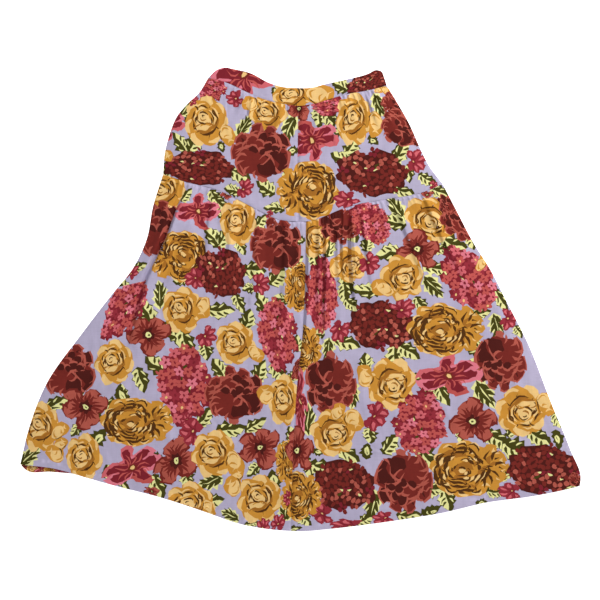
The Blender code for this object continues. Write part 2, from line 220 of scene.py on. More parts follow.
LOWER_RIGHT_CREASES = (
    Crease(((16, 150), (15, 60), (10, -57), (1, -150)), 4.2, 14, 4),
    Crease(((46, 160), (47, 60), (44, -44), (40, -110)), 6.4, 17, 4),
    Crease(((78, 170), (77, 70), (80, 20)), 4.6, 9, 3.5),
    Crease(((94, 164), (93, 70), (97, 20), (103, -50)), 6.0, 18, 4),
    Crease(((41, 140), (42, 60), (39, -60)), -2.8, 4, 4),
    Crease(((34, 146), (35, 60), (32, -60)), 3.2, 5, 10),
    Crease(((74, 120), (73, 70), (75, 34)), -2.0, 3, 4),
    Crease(((68, 140), (67, 70), (69, 20)), 2.6, 5, 9),
    Crease(((89, 120), (88, 70), (91, 30), (96, -20)), -2.8, 4, 4),
    Crease(((157, 178), (180, 150), (207, 122)), 1.1, 4, 8),
    Crease(((213, 194), (246, 165), (300, 107)), 1.4, 4, 9),
    Crease(((6, -139), (3, -215), (10, -305), (14, -334)), 1.0, 4, 7),
    Crease(((99, -269), (140, -276), (171, -282)), 0.7, 6, 7),
    Crease(((170, 60), (190, -10), (214, -90)), 1.3, 12, 16),
    Crease(((100, -80), (112, -150), (122, -220)), 1.3, 12, 16),
    Crease(((300, 40), (326, -30), (352, -110)), 1.5, 12, 16),
    Crease(((250, -140), (268, -220), (290, -300)), 1.3, 14, 18),
    Crease(((380, -120), (404, -190), (430, -270)), 1.3, 12, 16),
    Crease(((60, -300), (64, -350), (66, -400)), 1.1, 8, 10),
    Crease(((196, 120), (216, 80), (232, 30)), -1.3, 8, 8),
)
UPPER_BACK_CREASES = (
    Crease(((-180, 330), (-160, 280), (-140, 230)), 0.35, 8, 12),
    Crease(((-60, 300), (-66, 240), (-60, 190)), 0.35, 8, 12),
    Crease(((90, 320), (110, 260), (130, 210)), 0.35, 8, 12),
)
LOWER_BACK_CREASES = (
    Crease(((-240, 120), (-270, 30), (-310, -80)), 0.4, 12, 16),
    Crease(((-120, 60), (-140, -40), (-150, -180)), 0.4, 12, 16),
    Crease(((60, 40), (66, -80), (70, -220)), 0.4, 12, 16),
    Crease(((220, 80), (260, -40), (300, -180)), 0.4, 12, 16),
    Crease(((-360, -120), (-390, -200), (-410, -280)), 0.4, 12, 16),
    Crease(((380, -120), (410, -200), (440, -290)), 0.4, 12, 16),
)

# The cloth left of the deep fold on the lower tier, where the print is cut off by the fold
FOLD_SIDE = (
    (-560, 300), (-204, 300), (-204, 205), (-222, 171), (-245, 107), (-282, 33), (-430, 0), (-560, 0),
)

# Print colours, as red, green and blue from 0 to 255
GROUND = (181, 173, 200)
CREAM = (236, 196, 128)
MUSTARD = (203, 142, 54)
OCHRE = (164, 106, 38)
BROWN = (84, 50, 18)
MAROON = (118, 40, 34)
DARK = (78, 26, 22)
BRICK = (176, 86, 73)
MAGENTA = (148, 46, 58)
CRIMSON = (126, 34, 45)
PINK = (208, 100, 108)
ROSY = (190, 84, 80)
HOT_PINK = (222, 120, 136)
OLIVE = (68, 65, 20)
LIME = (230, 227, 154)
WRONG_SIDE = (202, 198, 216)

# How the cloth lies, in millimetres
FRONT_REST = 1.5  # underside of the front, over the back
BAND_REST = 2.1
EDGE_REST = 0.12  # the front is curled down to this at its side edges
LOFT = 2.4  # the front stands this much higher away from the sides
BAND_LOFT = 0.8
SIDE_ROLL = 26.0
CURL_REACH = 2.6  # how far in from a side edge the curl reaches
CALM_FROM, CALM_OVER = 4.0, 22.0  # folds and dips start this far in from a side, and grow over this
LOWEST_FRONT = 0.4  # how far a groove may go below where the front rests
CENTRE_DIP, CENTRE_DIP_REACH = 2.2, 4.5
WAIST_SEAM_DIP, TIER_SEAM_DIP, SEAM_DIP_REACH = 0.5, 1.3, 6.0
TIER_FOOT_DIP, TIER_FOOT_REACH = 0.3, 5.0
DEEPEST_DIP = 2.6
FOLD_WIDENS = 0.6  # share by which a main fold is wider at its foot
GATHER_STEP = 9.0
GATHER_LENGTH = 30.0
HEM_WAVE, HEM_WAVES = 0.9, 4.0
FRONT_HEM_STEP, BACK_HEM_STEP, HEM_STEP_REACH = 0.55, 0.4, 1.2
HEM_PUCKER, PUCKER_REACH, PUCKER_EVERY = 0.22, 4.0, 7.3
RIM_BULGE = 0.24
FRONT_INSET, BACK_INSET, END_INSET = 0.3, 2.6, 0.3  # gaps between neighbouring pieces
OUTLINE_STEP = 3.6
BACK_FOLDS, BACK_CREASES, BACK_GATHERS, BACK_CRINKLE = 0.45, 0.5, 0.25, 0.35  # shares left, lain on
BACK_MOST_LIFT = 0.75
BAND_LAYERS = 1.7  # thickness of the pressed double band, in layers
BAND_CRINKLE, BAND_SWELL = 0.6, 0.35
BACK_HEM_TUCK = 3.0
BACK_HEM_PEEP = 2.5
FRONT_HEM_LIFT = 7.0
PEEP_FROM_X, PEEP_TO_X = -476.0, -385.0
BACK_REPEAT_SIZE = (272.0, 292.0)

THREADS_PER_METRE = 1700.0
PICTURE_CENTRE = (-0.0009, -0.0013)
FLOOR_GLOW = 0.95
ROOM_LIGHT = 0.25


def placed(shape, x, y, turn=0.0, wide=1.0, tall=1.0):
    """A drawn shape scaled, turned by degrees and moved to its place."""
    cos, sin = math.cos(math.radians(turn)), math.sin(math.radians(turn))
    across, up = shape[:, 0] * wide, shape[:, 1] * tall
    return np.column_stack([x + across * cos - up * sin, y + across * sin + up * cos])


def around(reach, angle):
    """A point at a distance and a direction, in degrees, from the middle."""
    return reach * math.cos(math.radians(angle)), reach * math.sin(math.radians(angle))


def ruffled(x, y, wide, tall, lobes=5, depth=0.08, turn=0.0, points=14):
    """A closed, unevenly waved line round a centre."""
    angle = np.linspace(0.0, 2 * math.pi, points, endpoint=False)
    unevenness = 0.6 * np.cos((lobes - 2) * angle - 3.1 * turn + 0.8)
    reach = 1.0 + depth * (np.cos(lobes * angle + turn) + unevenness)
    return placed(np.column_stack([reach * np.cos(angle), reach * np.sin(angle)]), x, y, turn, wide, tall)


def petal(profile, x, y, turn, length, width, curl=0.0):
    """A petal or leaf from its foot, with a half outline of shares along it and half widths."""
    half = np.array(profile, float)
    shape = np.concatenate([half, half[-2:0:-1] * (1.0, -1.0)])
    bend = curl * shape[:, 0] ** 2
    return placed(np.column_stack([shape[:, 0] * length, shape[:, 1] * width + bend]), x, y, turn)


def stroke(x, y, turn, length, thick, bend=0.0):
    """A tapered brush stroke through a middle point, bent to one side."""
    share = np.array([-0.5, -0.2, 0.15, 0.5])
    half = np.array([0.25, 1.0, 0.85, 0.12]) * thick / 2
    line = bend * (0.25 - share**2) * 4 - bend / 2
    shape = np.concatenate(
        [
            np.column_stack([share * length, line + half]),
            np.column_stack([share * length, line - half])[::-1],
        ]
    )
    return placed(shape, x, y, turn)


def crescent(x, y, reach, start, end, thick, squash=1.0):
    """A curved stroke round a centre, widest a little past its middle and thin at both ends."""
    share = np.array([0.0, 0.2, 0.42, 0.64, 0.84, 1.0])
    swell = np.array([0.1, 0.6, 0.95, 1.0, 0.62, 0.08]) * thick / 2
    angle = np.radians(start + (end - start) * share)
    ways = np.column_stack([np.cos(angle), np.sin(angle)])
    shape = np.concatenate([ways * (reach + swell)[:, None], (ways * (reach - swell)[:, None])[::-1]])
    return placed(shape, x, y, 0.0, 1.0, squash)


WAVY_PETAL = (
    (0.0, 0.07), (0.2, 0.26), (0.38, 0.5), (0.55, 0.42), (0.72, 0.5), (0.86, 0.36), (0.94, 0.4), (1.0, 0.0),
)
SMALL_PETAL = ((0.0, 0.08), (0.45, 0.5), (0.85, 0.42), (1.0, 0.0))
TOOTHED_LEAF = (
    (0.0, 0.06), (0.14, 0.38), (0.24, 0.28), (0.38, 0.55), (0.5, 0.36), (0.62, 0.46), (0.72, 0.24),
    (0.82, 0.24), (1.0, 0.0),
)
SMOOTH_LEAF = ((0.0, 0.05), (0.2, 0.36), (0.45, 0.5), (0.7, 0.38), (0.88, 0.16), (1.0, 0.0))


def rose():
    """A full rose: pale-lipped outer petals, a pale bowl with brown crevices and a folded heart."""
    art = [(MUSTARD, ruffled(0, 0, 0.95, 0.93, 7, 0.07, 10, 32))]
    for angle, reach, size, thick in (
        (92, 0.56, 0.40, 0.26), (40, 0.62, 0.34, 0.14), (-6, 0.6, 0.4, 0.22), (-58, 0.62, 0.36, 0.16),
        (-112, 0.58, 0.42, 0.3), (-162, 0.6, 0.36, 0.18), (146, 0.62, 0.34, 0.24),
    ):
        x, y = around(reach, angle)
        art.append((MUSTARD, ruffled(x, y, size, size * 0.92, 4, 0.08, angle, 9)))
        art.append((OCHRE, crescent(x, y, size * 0.8, angle + 118, angle + 252, size * 0.42)))
        art.append((CREAM, crescent(x, y, size * 0.84, angle - 96, angle + 48, thick)))
        art.append((BROWN, crescent(x, y, size * 0.98, angle + 94, angle + 176, 0.07)))
    art.append((OCHRE, ruffled(-0.05, 0.02, 0.6, 0.55, 6, 0.08, 30, 24)))
    art.append((MUSTARD, ruffled(-0.08, 0.1, 0.54, 0.46, 6, 0.06, 30, 24)))
    art.append((CREAM, ruffled(-0.14, -0.12, 0.42, 0.28, 5, 0.1, 20, 20)))
    art.append((MUSTARD, stroke(-0.06, -0.18, 8, 0.5, 0.12, 0.1)))
    for reach, start, end, thick, shade in (
        (0.6, -112, -20, 0.085, BROWN), (0.56, -170, -128, 0.09, BROWN), (0.54, -22, 52, 0.075, BROWN),
        (0.45, -30, 60, 0.1, CREAM), (0.37, -24, 66, 0.07, BROWN), (0.62, 8, 62, 0.07, CREAM),
        (0.5, 66, 122, 0.08, BROWN), (0.42, 72, 150, 0.12, CREAM), (0.6, 84, 128, 0.07, CREAM),
        (0.52, 138, 176, 0.09, BROWN), (0.44, 152, 200, 0.1, CREAM), (0.36, 150, 196, 0.08, BROWN),
    ):
        art.append((shade, crescent(-0.06, 0.05, reach, start, end, thick)))
    art.append((CREAM, ruffled(-0.12, 0.12, 0.22, 0.24, 4, 0.12, 20, 14)))
    for x, y, reach, start, end, thick, shade in (
        (-0.12, 0.1, 0.26, 188, 300, 0.08, BROWN), (-0.1, 0.14, 0.18, 10, 150, 0.07, BROWN),
        (-0.14, 0.1, 0.13, 170, 330, 0.065, OCHRE), (-0.1, 0.12, 0.07, 30, 200, 0.06, BROWN),
        (0.04, 0.0, 0.2, -60, 50, 0.07, BROWN), (-0.34, 0.0, 0.16, 100, 220, 0.07, BROWN),
        (0.1, -0.4, 0.3, 30, 120, 0.07, OCHRE), (-0.34, -0.42, 0.26, 70, 160, 0.07, OCHRE),
        (0.5, 0.4, 0.2, 150, 260, 0.06, BROWN), (-0.52, 0.36, 0.2, 0, 90, 0.06, BROWN),
    ):
        art.append((shade, crescent(x, y, reach, start, end, thick)))
    return art


def bud():
    """A side petal or bud, half pale and half mustard."""
    return [
        (MUSTARD, ruffled(0, 0, 0.98, 0.95, 4, 0.06, 10, 16)),
        (CREAM, ruffled(-0.26, 0.1, 0.64, 0.72, 4, 0.07, 0, 14)),
        (MUSTARD, crescent(-0.2, 0.1, 0.5, 100, 230, 0.16)),
        (MUSTARD, stroke(-0.02, -0.2, 75, 0.7, 0.14, 0.15)),
        (CREAM, stroke(0.55, -0.1, 70, 0.8, 0.16, 0.2)),
        (BROWN, crescent(0.1, 0.0, 0.86, 190, 262, 0.12)),
    ]


def brown_peony():
    """A ruffled mustard flower full of brown curves, with a looser side bloom on its left."""
    art = [
        (MUSTARD, ruffled(0.2, 0.0, 0.78, 0.93, 8, 0.06, 8, 36)),
        (OCHRE, ruffled(0.26, 0.0, 0.56, 0.66, 7, 0.1, 40, 30)),
    ]
    sides = ((176, 0.62, 0.36), (138, 0.66, 0.4), (214, 0.68, 0.42), (250, 0.8, 0.4), (108, 0.8, 0.4))
    for angle, reach, width in sides:
        art.append((MUSTARD, petal(WAVY_PETAL, -0.3, -0.04, angle, reach, width, 0.08)))
        x, y = around(reach * 0.74, angle - 10)
        art.append((CREAM, stroke(x - 0.3, y - 0.04, angle + 64, 0.24, 0.09, 0.08)))
        art.append((OCHRE, stroke(x * 0.5 - 0.3, y * 0.5 - 0.04, angle, reach * 0.4, 0.14, 0.05)))
        for side, share in ((-15, 0.6), (8, 0.52)):
            x, y = around(reach * share, angle + side)
            art.append((BROWN, stroke(x - 0.3, y - 0.04, angle + side * 0.4, reach * 0.46, 0.08, 0.06)))
    for k, angle in enumerate((4, 34, 62, 92, 120, -26, -56, -84, -112)):
        x, y = around(0.8, angle)
        x, y = 0.2 + x * 0.78, y * 0.92
        art.append((CREAM, crescent(x * 0.97, y, 0.15, angle - 80, angle + 40, 0.09)))
        art.append((BROWN, crescent(x * 0.9, y * 0.9, 0.17, angle - 84, angle + 30 * (k % 3), 0.065)))
    for k in range(9):
        x, y = around(0.4 + 0.1 * math.sin(4.4 * k), 40 * k)
        art.append((MUSTARD, ruffled(0.24 + x, 0.03 + y, 0.17, 0.12, 3, 0.12, 40 * k + 80, 9)))
    for reach, count, span, thick in (
        (0.64, 8, 34, 0.1), (0.53, 8, 40, 0.085), (0.42, 6, 44, 0.09), (0.31, 5, 56, 0.08),
        (0.2, 3, 80, 0.07),
    ):
        for k in range(count):
            angle = 360.0 * (k + 0.34 * math.sin(2.7 * k + 9 * reach)) / count + 130 * reach
            long = span * (1.0 + 0.35 * math.sin(5.1 * k + 3 * reach))
            out = reach * (1.0 + 0.07 * math.sin(3.3 * k))
            art.append((BROWN, crescent(0.24, 0.03, out, angle, angle + long, thick, 1.08)))
            if k % 2:
                pale = crescent(0.24, 0.03, out * 0.9, angle + 6, angle + long * 0.8, thick * 0.9, 1.08)
                art.append((CREAM, pale))
            else:
                x, y = around(out, angle + long)
                art.append((BROWN, stroke(0.24 + x, 0.03 + y * 1.05, angle + 30, 0.2, 0.075, 0.05)))
                art.append((OCHRE, stroke(0.24 + x * 0.86, 0.03 + y * 0.92, angle + 60, 0.16, 0.08, 0.04)))
    for x, y, turn in (
        (-0.1, -0.44, 100), (0.02, -0.56, 84), (0.16, -0.6, 70), (-0.22, -0.28, 130), (0.6, -0.3, 40),
    ):
        art.append((BROWN, stroke(x, y, turn, 0.26, 0.085, 0.05)))
    art.append((CREAM, ruffled(0.2, 0.08, 0.1, 0.08, 3, 0.1, 0, 8)))
    art.append((BROWN, crescent(0.22, 0.06, 0.09, 190, 330, 0.06)))
    return art


def maroon_peony():
    """A dark flower: pointed outer petals, a deep cup and a small folded heart, all edged in brick."""
    art = []
    wings = (
        (62, 0.98, 0.5, MAROON, 0.1), (104, 1.02, 0.44, MAROON, -0.06), (140, 1.0, 0.56, MAROON, 0.1),
        (24, 1.0, 0.58, DARK, 0.1), (-8, 1.0, 0.62, MAROON, -0.08), (182, 1.02, 0.66, MAROON, -0.12),
        (-148, 1.0, 0.6, MAROON, 0.1), (-36, 0.98, 0.6, DARK, 0.08), (-94, 1.0, 0.4, BRICK, 0.06),
    )
    for angle, length, width, shade, curl in wings:
        art.append((BRICK, petal(WAVY_PETAL, 0, 0, angle, length, width * 1.02, curl)))
        art.append((shade, petal(WAVY_PETAL, 0, 0, angle + 2, length * 0.95, width * 0.92, curl)))
        if shade is MAROON:
            x, y = around(length * 0.56, angle + 8)
            art.append((DARK, stroke(x, y, angle, length * 0.5, width * 0.3, curl)))
            x, y = around(length * 0.66, angle - 12)
            art.append((BRICK, stroke(x, y, angle - 8, length * 0.42, 0.08, curl * 0.6)))
    art.append((MAROON, ruffled(-0.32, -0.28, 0.5, 0.44, 4, 0.07, 20, 18)))
    art.append((DARK, ruffled(0.36, -0.26, 0.46, 0.44, 4, 0.07, 60, 18)))
    art.append((MAROON, ruffled(0.02, -0.42, 0.5, 0.4, 5, 0.06, 0, 18)))
    art.append((DARK, ruffled(0.16, -0.5, 0.3, 0.26, 4, 0.08, 30, 14)))
    art.append((MAROON, ruffled(0.02, 0.2, 0.56, 0.5, 6, 0.08, 10, 22)))
    art.append((DARK, ruffled(0.3, 0.06, 0.3, 0.24, 4, 0.1, 40, 12)))
    for x, y, reach, start, end, thick in (
        (-0.32, -0.28, 0.5, 50, 150, 0.08), (0.4, -0.5, 0.56, 66, 150, 0.085),
        (-0.06, -0.5, 0.5, 4, 96, 0.08), (0.0, -0.1, 0.26, -100, 20, 0.08),
        (-0.5, -0.36, 0.34, 110, 220, 0.07), (0.62, -0.14, 0.3, -70, 70, 0.07),
        (-0.1, -0.3, 0.6, 186, 230, 0.07), (0.05, 0.2, 0.56, -20, 60, 0.08),
        (0.02, 0.2, 0.54, 100, 176, 0.075),
    ):
        art.append((BRICK, crescent(x, y, reach, start, end, thick)))
    for x, y, turn, length in (
        (-0.66, 0.1, 12, 0.42), (-0.66, -0.08, -6, 0.36), (-0.56, 0.3, 36, 0.34), (0.62, 0.22, 20, 0.36),
        (-0.24, -0.74, 80, 0.3), (-0.52, -0.58, 50, 0.36), (0.5, -0.62, 130, 0.26), (-0.72, -0.32, 24, 0.34),
    ):
        art.append((BRICK, stroke(x, y, turn, length, 0.09, 0.07)))
    for x, y, size, turn in (
        (-0.22, 0.42, 0.19, 30), (0.06, 0.56, 0.19, 80), (0.32, 0.4, 0.18, -20), (-0.06, 0.3, 0.18, 0),
        (0.18, 0.22, 0.16, 40), (-0.28, 0.14, 0.16, 10), (0.0, 0.08, 0.14, 70), (0.42, 0.14, 0.14, 20),
    ):
        art.append((DARK if turn % 3 else MAROON, ruffled(x, y, size, size * 0.8, 3, 0.12, turn, 9)))
        art.append((BRICK, crescent(x, y, size * 0.88, turn - 20, turn + 130, 0.075)))
    return art


def floret(x, y, turn, count, size, width, wide, tall):
    """The petals of one small flower, drawn so that they look even once their cluster is stretched."""
    ways = [turn + 360.0 * k / count for k in range(count)]
    return [placed(petal(SMALL_PETAL, 0, 0, way, size, width), x, y, 0.0, wide, tall) for way in ways]


DARK_FLORETS = (
    (-0.74, 0.06), (-0.6, 0.38), (-0.36, 0.14), (-0.3, 0.56), (-0.02, 0.34), (0.06, 0.7), (0.3, 0.48),
    (0.6, 0.4), (-0.62, -0.26), (-0.3, -0.14), (0.0, 0.02), (0.3, 0.14), (0.58, 0.1), (0.82, 0.06),
    (-0.4, -0.5), (-0.08, -0.34), (0.2, -0.22), (0.46, -0.16), (0.7, -0.26), (0.1, -0.62), (0.36, -0.5),
    (0.6, -0.54), (-0.14, -0.68),
)


def dark_hydrangea():
    """A wide dark cluster, its florets lit in brick towards the upper left."""
    art = []
    for x, y, wide, tall in (
        (-0.34, 0.06, 0.56, 0.62), (0.2, 0.14, 0.62, 0.62), (0.16, -0.3, 0.62, 0.54),
        (0.52, -0.04, 0.4, 0.54),
    ):
        art.append((DARK, ruffled(x, y, wide, tall, 7, 0.1, 40 * x, 26)))
    for k, (x, y) in enumerate(DARK_FLORETS):
        near = y - 0.7 * x
        count = 3 if near > 0.3 else 2 if near > -0.1 else 1 if k % 2 else 0
        lit = BRICK if k % 5 else CRIMSON
        turn = 41 * k
        for number, shape in enumerate(floret(x, y, turn, 4, 0.185, 0.13, 0.86, 1.14)):
            art.append((lit if number < count else MAROON, shape))
        art.append((DARK, ruffled(x, y, 0.045, 0.045, 3, 0.1, 0, 5)))
        if k % 4 == 0:
            art.append((DARK, stroke(x + 0.12, y - 0.1, 60 + turn, 0.18, 0.06, 0.03)))
    for x, y in ((-0.4, 0.3), (-0.1, 0.14), (0.14, 0.1), (-0.16, -0.5)):
        art.append((LIME, stroke(x, y, 70 * x, 0.11, 0.06, 0.02)))
    art.append((OLIVE, stroke(0.2, 0.24, 40, 0.2, 0.07, 0.04)))
    return art


PINK_FLORETS = (
    (-0.3, 0.78), (0.02, 0.9), (0.32, 0.78), (-0.58, 0.52), (-0.24, 0.52), (0.08, 0.6), (0.4, 0.5),
    (0.68, 0.42), (-0.78, 0.22), (-0.46, 0.24), (-0.12, 0.28), (0.2, 0.3), (0.52, 0.18), (0.82, 0.12),
    (-0.7, -0.08), (-0.36, -0.04), (-0.04, -0.02), (0.3, 0.0), (0.62, -0.12), (-0.6, -0.38),
    (-0.26, -0.34), (0.08, -0.32), (0.42, -0.38), (0.72, -0.4), (-0.4, -0.66), (-0.06, -0.62),
    (0.28, -0.68), (0.08, -0.9), (-0.2, -0.92), (0.5, -0.66),
)


def pink_hydrangea():
    """A tall ragged cluster of small five-petalled pink florets on magenta."""
    art = [(MAGENTA, ruffled(0.0, 0.0, 0.82, 0.92, 11, 0.07, 5, 44))]
    art.append((CRIMSON, ruffled(0.2, 0.1, 0.46, 0.6, 7, 0.12, 0, 24)))
    for k, (x, y) in enumerate(PINK_FLORETS):
        colour = (PINK, ROSY, ROSY, HOT_PINK, ROSY, PINK, MAGENTA)[k % 7]
        turn = 37 * k
        art.append((CRIMSON, ruffled(x + 0.06, y - 0.07, 0.17, 0.15, 5, 0.2, turn, 10)))
        art += [(colour, shape) for shape in floret(x, y, turn, 5, 0.175, 0.11, 1.22, 0.86)]
        art.append((CREAM if k % 6 == 1 else CRIMSON, ruffled(x, y, 0.042, 0.042, 3, 0.1, 0, 5)))
    for x, y, turn in ((-0.06, 0.12, 70), (0.24, -0.18, 100), (0.1, 0.44, 30)):
        art.append((OLIVE, stroke(x, y, turn, 0.15, 0.07, 0.02)))
    art.append((LIME, stroke(0.26, -0.12, 100, 0.1, 0.05, 0.02)))
    return art


def magenta_flower():
    """An open flower of broad curved petals, crimson inside wide pink edges."""
    art = []
    petals = (
        (160, 1.04, 0.56, 0.34, HOT_PINK), (100, 0.9, 0.54, 0.3, ROSY), (34, 1.0, 0.56, -0.32, HOT_PINK),
        (-26, 1.02, 0.5, 0.3, PINK), (-80, 0.86, 0.5, -0.24, PINK), (-138, 1.0, 0.54, -0.3, HOT_PINK),
    )
    for angle, length, width, curl, shade in petals:
        art.append((shade, petal(WAVY_PETAL, 0, 0, angle, length, width * 1.1, curl)))
    for angle, length, width, curl, shade in petals:
        art.append((CRIMSON, petal(WAVY_PETAL, 0, 0, angle + 4, length * 0.84, width * 0.7, curl * 0.8)))
    for angle, length, width, curl, shade in petals:
        for side, share in ((-12, 0.42), (14, 0.36)):
            x, y = around(length * share, angle + side)
            art.append((ROSY, stroke(x, y, angle + side * 0.6, length * 0.42, 0.065, curl * 0.3)))
    art.append((MAROON, ruffled(0, 0, 0.17, 0.17, 6, 0.16, 0, 12)))
    art.append((CREAM, ruffled(0, 0, 0.085, 0.1, 3, 0.1, 0, 6)))
    return art


def brick_flower():
    """An open flower of ruffled brick petals with dark streaks and a pale eye."""
    art = []
    petals = (
        (118, 1.0, 0.56, 0.24), (66, 0.9, 0.6, -0.1), (8, 1.0, 0.66, 0.16), (-46, 0.88, 0.6, -0.12),
        (-98, 1.0, 0.6, 0.16), (-160, 0.96, 0.66, -0.16), (162, 0.8, 0.5, 0.1),
    )
    for angle, length, width, curl in petals:
        art.append((MAROON, petal(WAVY_PETAL, 0, 0, angle - 3, length, width * 1.16, curl)))
        art.append((BRICK, petal(WAVY_PETAL, 0.02, 0.0, angle + 2, length * 0.95, width * 0.94, curl)))
    for angle, length, width, curl in petals:
        for side, reach in ((-17, 0.4), (0, 0.5), (18, 0.38)):
            x, y = around(length * reach, angle + side)
            art.append((MAROON, stroke(x, y, angle + side * 0.7, length * 0.6, 0.12, curl * 0.4)))
    art.append((DARK, ruffled(0, 0, 0.27, 0.27, 7, 0.2, 12, 20)))
    art.append((LIME, ruffled(0, 0, 0.13, 0.11, 3, 0.1, 0, 8)))
    art.append((OLIVE, ruffled(0.02, -0.01, 0.05, 0.05, 3, 0.1, 0, 5)))
    return art


def half_open_flower():
    """A small magenta flower seen from the side, broad petals fanned out with pink strokes."""
    art = []
    fan = (
        (118, 0.86, 0.6), (72, 1.0, 0.66), (24, 1.08, 0.66), (-20, 1.08, 0.66), (-66, 1.0, 0.62),
        (-112, 0.8, 0.5),
    )
    for angle, length, width in fan:
        art.append((MAGENTA, petal(WAVY_PETAL, -0.25, 0, angle, length, width, 0.08)))
    for angle, length, width in fan[:5]:
        x, y = around(length * 0.66, angle + 4)
        art.append((PINK, stroke(x - 0.25, y, angle, length * 0.5, 0.22, 0.08)))
        x, y = around(length * 0.5, angle - 14)
        art.append((CRIMSON, stroke(x - 0.25, y, angle - 8, length * 0.6, 0.1, 0.05)))
    art.append((CRIMSON, ruffled(-0.2, 0, 0.22, 0.26, 5, 0.12, 0, 10)))
    art.append((CREAM, ruffled(-0.16, 0, 0.07, 0.08, 3, 0.1, 0, 5)))
    return art


def leaf():
    """A toothed leaf from its stalk, one half pale with dark slashes, the other dark."""
    art = [(OLIVE, petal(TOOTHED_LEAF, -1.0, 0, 0, 2.05, 2.0, 0.05))]
    art.append((LIME, petal(TOOTHED_LEAF, -0.9, -0.22, -3, 1.8, 1.36, 0.1)))
    for share, length in ((-0.5, 0.62), (-0.08, 0.76), (0.34, 0.6)):
        art.append((OLIVE, stroke(share, -0.4, -54, length, 0.2, -0.06)))
    art.append((OLIVE, petal(SMOOTH_LEAF, -1.0, 0.2, 1, 1.8, 0.56, 0.02)))
    for share, up in ((-0.42, 0.5), (0.08, 0.52)):
        art.append((LIME, stroke(share, up, 40, 0.5, 0.17, 0.05)))
    return art


def sprig():
    """A leaf with deep teeth, pale slashes on both sides of its middle."""
    art = [(LIME, petal(TOOTHED_LEAF, -1.0, 0, 0, 2.0, 2.0))]
    art.append((OLIVE, petal(SMOOTH_LEAF, -1.0, 0, 0, 1.95, 0.66)))
    for share, length in ((-0.56, 0.9), (-0.06, 1.05), (0.4, 0.7)):
        art.append((OLIVE, stroke(share + 0.12, 0.38 * length, 46, length, 0.34, 0.06)))
        art.append((OLIVE, stroke(share + 0.12, -0.38 * length, -46, length, 0.3, -0.06)))
    art.append((LIME, stroke(0.0, 0.04, 4, 1.2, 0.12, 0.04)))
    return art


def small_leaf():
    """A small dark leaf with a pale drop in its middle."""
    return [
        (OLIVE, petal(TOOTHED_LEAF, -1.0, 0, 0, 2.0, 1.9)),
        (LIME, petal(SMOOTH_LEAF, -0.5, -0.1, 0, 1.0, 0.8)),
        (OLIVE, stroke(-0.1, -0.1, 10, 0.5, 0.14)),
    ]


def loosened(points):
    """Points of the print moved a little by soft waves, so that no two flowers are quite the same."""
    x, y = points[:, 0], points[:, 1]
    across = 1.5 * np.sin(y / 8.3 + 1.1 * np.sin(x / 17.0)) + 0.8 * np.sin((x + 1.7 * y) / 4.3 + 2.0)
    up = 1.5 * np.sin(x / 7.7 + 1.3 * np.sin(y / 19.0) + 0.6) + 0.8 * np.sin((y - 1.4 * x) / 4.7 + 0.9)
    return np.column_stack([x + across + 0.35 * np.sin(x * 2.3 + y), y + up + 0.35 * np.sin(y * 2.1 - x)])


ROSE = rose()
BUD = bud()
BROWN_PEONY = brown_peony()
MAROON_PEONY = maroon_peony()
DARK_CLUSTER = dark_hydrangea()
PINK_CLUSTER = pink_hydrangea()
MAGENTA_FLOWER = magenta_flower()
BRICK_FLOWER = brick_flower()
HALF_OPEN = half_open_flower()
LEAF = leaf()
SPRIG = sprig()
SMALL_LEAF = small_leaf()
LEAVES = (LEAF, SPRIG, SMALL_LEAF)

# Where each flower and leaf is printed: motif, x, y, turn in degrees, width and height. Later rows
# are painted over earlier ones.
BAND_PRINT = (
    (SMALL_LEAF, -47, 374, 130, 22, 17), (LEAF, 71, 387, 150, 34, 30),
    (MAGENTA_FLOWER, -101, 406, 0, 111, 115), (ROSE, -14, 370, 0, 76, 64), (BUD, 35, 370, 0, 56, 38),
    (DARK_CLUSTER, 123, 393, 25, 96, 48),
)
UPPER_LEFT_PRINT = (
    (LEAF, -150, 369, -60, 22, 17), (SMALL_LEAF, -144, 275, -60, 22, 17), (SPRIG, -102, 314, 60, 47, 27),
    (SPRIG, -20, 310, -110, 54, 30), (SMALL_LEAF, -15, 268, 180, 22, 20), (LEAF, -22, 226, -50, 34, 25),
    (LEAF, -217, 283, 125, 44, 30), (LEAF, -191, 286, 60, 47, 32), (SMALL_LEAF, -205, 327, 100, 20, 17),
    (SPRIG, -206, 347, 50, 42, 25), (LEAF, -243, 234, 80, 30, 22), (LEAF, -111, 226, -25, 44, 32),
    (LEAF, -122, 197, 170, 30, 25), (LEAF, -62, 202, 150, 42, 32), (LEAF, -48, 165, 175, 42, 22),
    (PINK_CLUSTER, -162, 384, -30, 60, 52), (HALF_OPEN, -119, 364, 190, 38, 34),
    (ROSE, -171, 323, 0, 80, 92), (BUD, -132, 296, -50, 36, 34), (ROSE, -59, 337, 0, 70, 72),
    (BUD, -90, 353, 160, 30, 28), (MAROON_PEONY, -70, 265, 0, 111, 108),
    (BRICK_FLOWER, -2, 346, 20, 48, 48), (DARK_CLUSTER, -186, 239, 0, 135, 80),
    (MAGENTA_FLOWER, -242, 315, 10, 60, 68), (HALF_OPEN, -228, 337, 0, 24, 24),
    (HALF_OPEN, -195, 359, 30, 24, 20), (BUD, -243, 259, 0, 28, 24), (HALF_OPEN, -100, 200, -20, 36, 38),
    (BROWN_PEONY, 10, 198, 0, 115, 115), (HALF_OPEN, -55, 154, 0, 16, 12),
)
